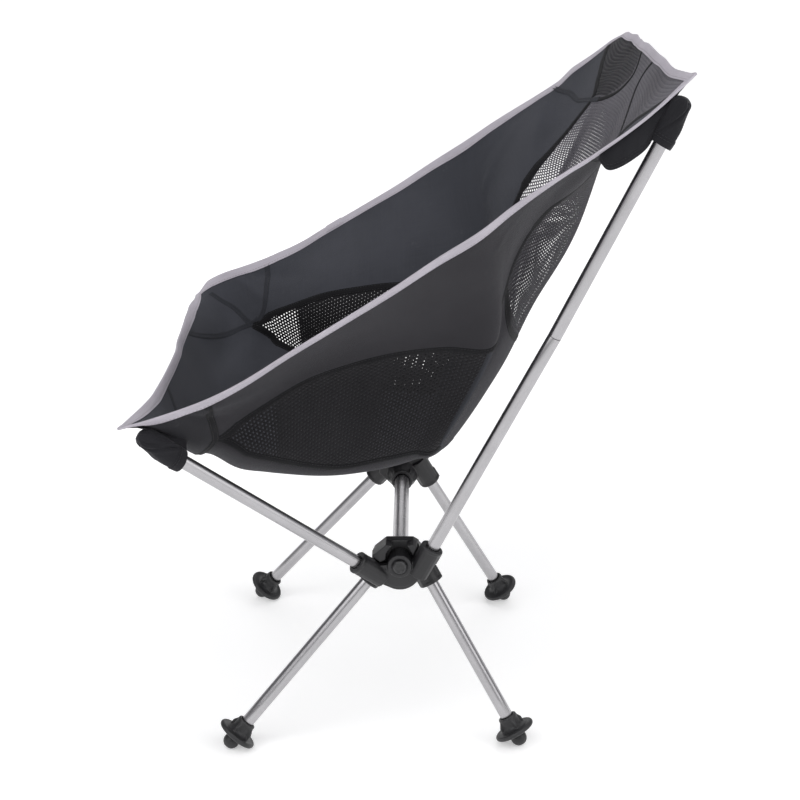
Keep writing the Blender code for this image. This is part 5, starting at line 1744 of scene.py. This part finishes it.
# ---------------------------------------------------------------------------------
# camera, floor and light
# ---------------------------------------------------------------------------------
cam = bpy.data.cameras.new("camera")
cam_obj = bpy.data.objects.new("camera", cam)
bpy.context.scene.collection.objects.link(cam_obj)
right = Vector((-0.0112568, 0.9999280, -0.0041575))
up = Vector((-0.3157253, 0.0003904, 0.9488506))
back_dir = Vector((0.9487839, 0.0119951, 0.3156981))
rot = Matrix((right, up, back_dir)).transposed().to_4x4()
cam_obj.matrix_world = Matrix.Translation(Vector((1.72618861, 0.04554027 + Y_SHIFT * MM, 0.87661195))) @ rot
cam.lens, cam.sensor_width = 79.65, 36.0
cam.clip_start, cam.clip_end = 0.05, 60.0
bpy.context.scene.camera = cam_obj

floor_mat = Shade("pale_floor", (0.86, 0.86, 0.86), 0.75)
place = floor_mat.place()
n1 = floor_mat.noise(place, 3.0, 4.0)
floor_mat.set("Emission Color", (1.0, 1.0, 1.0, 1.0))
floor_mat.set("Emission Strength", 0.40)
floor_mat = floor_mat.out(floor_mat.mix(floor_mat.ramp(n1, 0.3, 0.7), (0.86, 0.86, 0.86), (0.88, 0.88, 0.88)))
S = 14.0
gv = [(-S, -S, -0.0004), (S, -S, -0.0004), (S, S, -0.0004), (-S, S, -0.0004)]
floor = make_mesh("floor", np.array(gv), np.array([[0, 1, 2, 3]]), None, floor_mat)
floor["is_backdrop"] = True

world = bpy.data.worlds.new("studio")
bpy.context.scene.world = world
world.use_nodes = True
bg = next(n for n in world.node_tree.nodes if n.type == "BACKGROUND")
# a room that is white at the horizon and dim overhead, as in a studio with hanging lamps
nt = world.node_tree
place = nt.nodes.new("ShaderNodeTexCoord")
split = nt.nodes.new("ShaderNodeSeparateXYZ")
nt.links.new(place.outputs["Generated"], split.inputs[0])
level = nt.nodes.new("ShaderNodeMapRange")
level.interpolation_type = "SMOOTHSTEP"
for key, value in (("From Min", 0.06), ("From Max", 0.20), ("To Min", 0.0), ("To Max", 1.0)):
    level.inputs[key].default_value = value
nt.links.new(split.outputs[2], level.inputs["Value"])
tone = nt.nodes.new("ShaderNodeMix")
tone.data_type = "RGBA"
tone.inputs[6].default_value = (1.0, 1.0, 1.0, 1.0)
tone.inputs[7].default_value = (0.17, 0.17, 0.18, 1.0)
nt.links.new(level.outputs[0], tone.inputs[0])
nt.links.new(tone.outputs[2], bg.inputs["Color"])
bg.inputs["Strength"].default_value = 1.0


def sun(name, toward, angle, strength, colour=(1, 1, 1)):
    light = bpy.data.lights.new(name, "SUN")
    light.angle = math.radians(angle)
    light.energy = strength
    light.color = colour
    obj = bpy.data.objects.new(name, light)
    bpy.context.scene.collection.objects.link(obj)
    obj.rotation_mode = "QUATERNION"
    obj.rotation_quaternion = Vector(toward).to_track_quat("Z", "Y")
    return obj


def softbox(name, where, at, size, power, colour=(1, 1, 1)):
    light = bpy.data.lights.new(name, "AREA")
    light.shape = "RECTANGLE"
    light.size, light.size_y = size
    light.energy = power
    light.color = colour
    obj = bpy.data.objects.new(name, light)
    bpy.context.scene.collection.objects.link(obj)
    obj.location = Vector(where)
    obj.rotation_mode = "QUATERNION"
    obj.rotation_quaternion = (Vector(at) - Vector(where)).to_track_quat("-Z", "Y")
    return obj


sun("broad_key", (0.62, -0.30, 0.72), 55, 1.05)
sun("broad_fill", (0.35, 0.62, 0.70), 60, 0.80)
sun("broad_top", (-0.25, 0.0, 0.97), 70, 0.55)
softbox("key_softbox", (1.2, -1.7, 1.9), (0, 0, 0.30), (1.2, 1.2), 7)
softbox("fill_softbox", (1.3, 1.9, 1.2), (0, 0, 0.32), (1.4, 1.4), 5)
softbox("rim_softbox", (-1.9, 0.2, 1.6), (0, 0, 0.35), (1.4, 1.4), 7)
try:
    bpy.context.scene.view_settings.view_transform = "Standard"
except TypeError:
    pass

lo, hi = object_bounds()
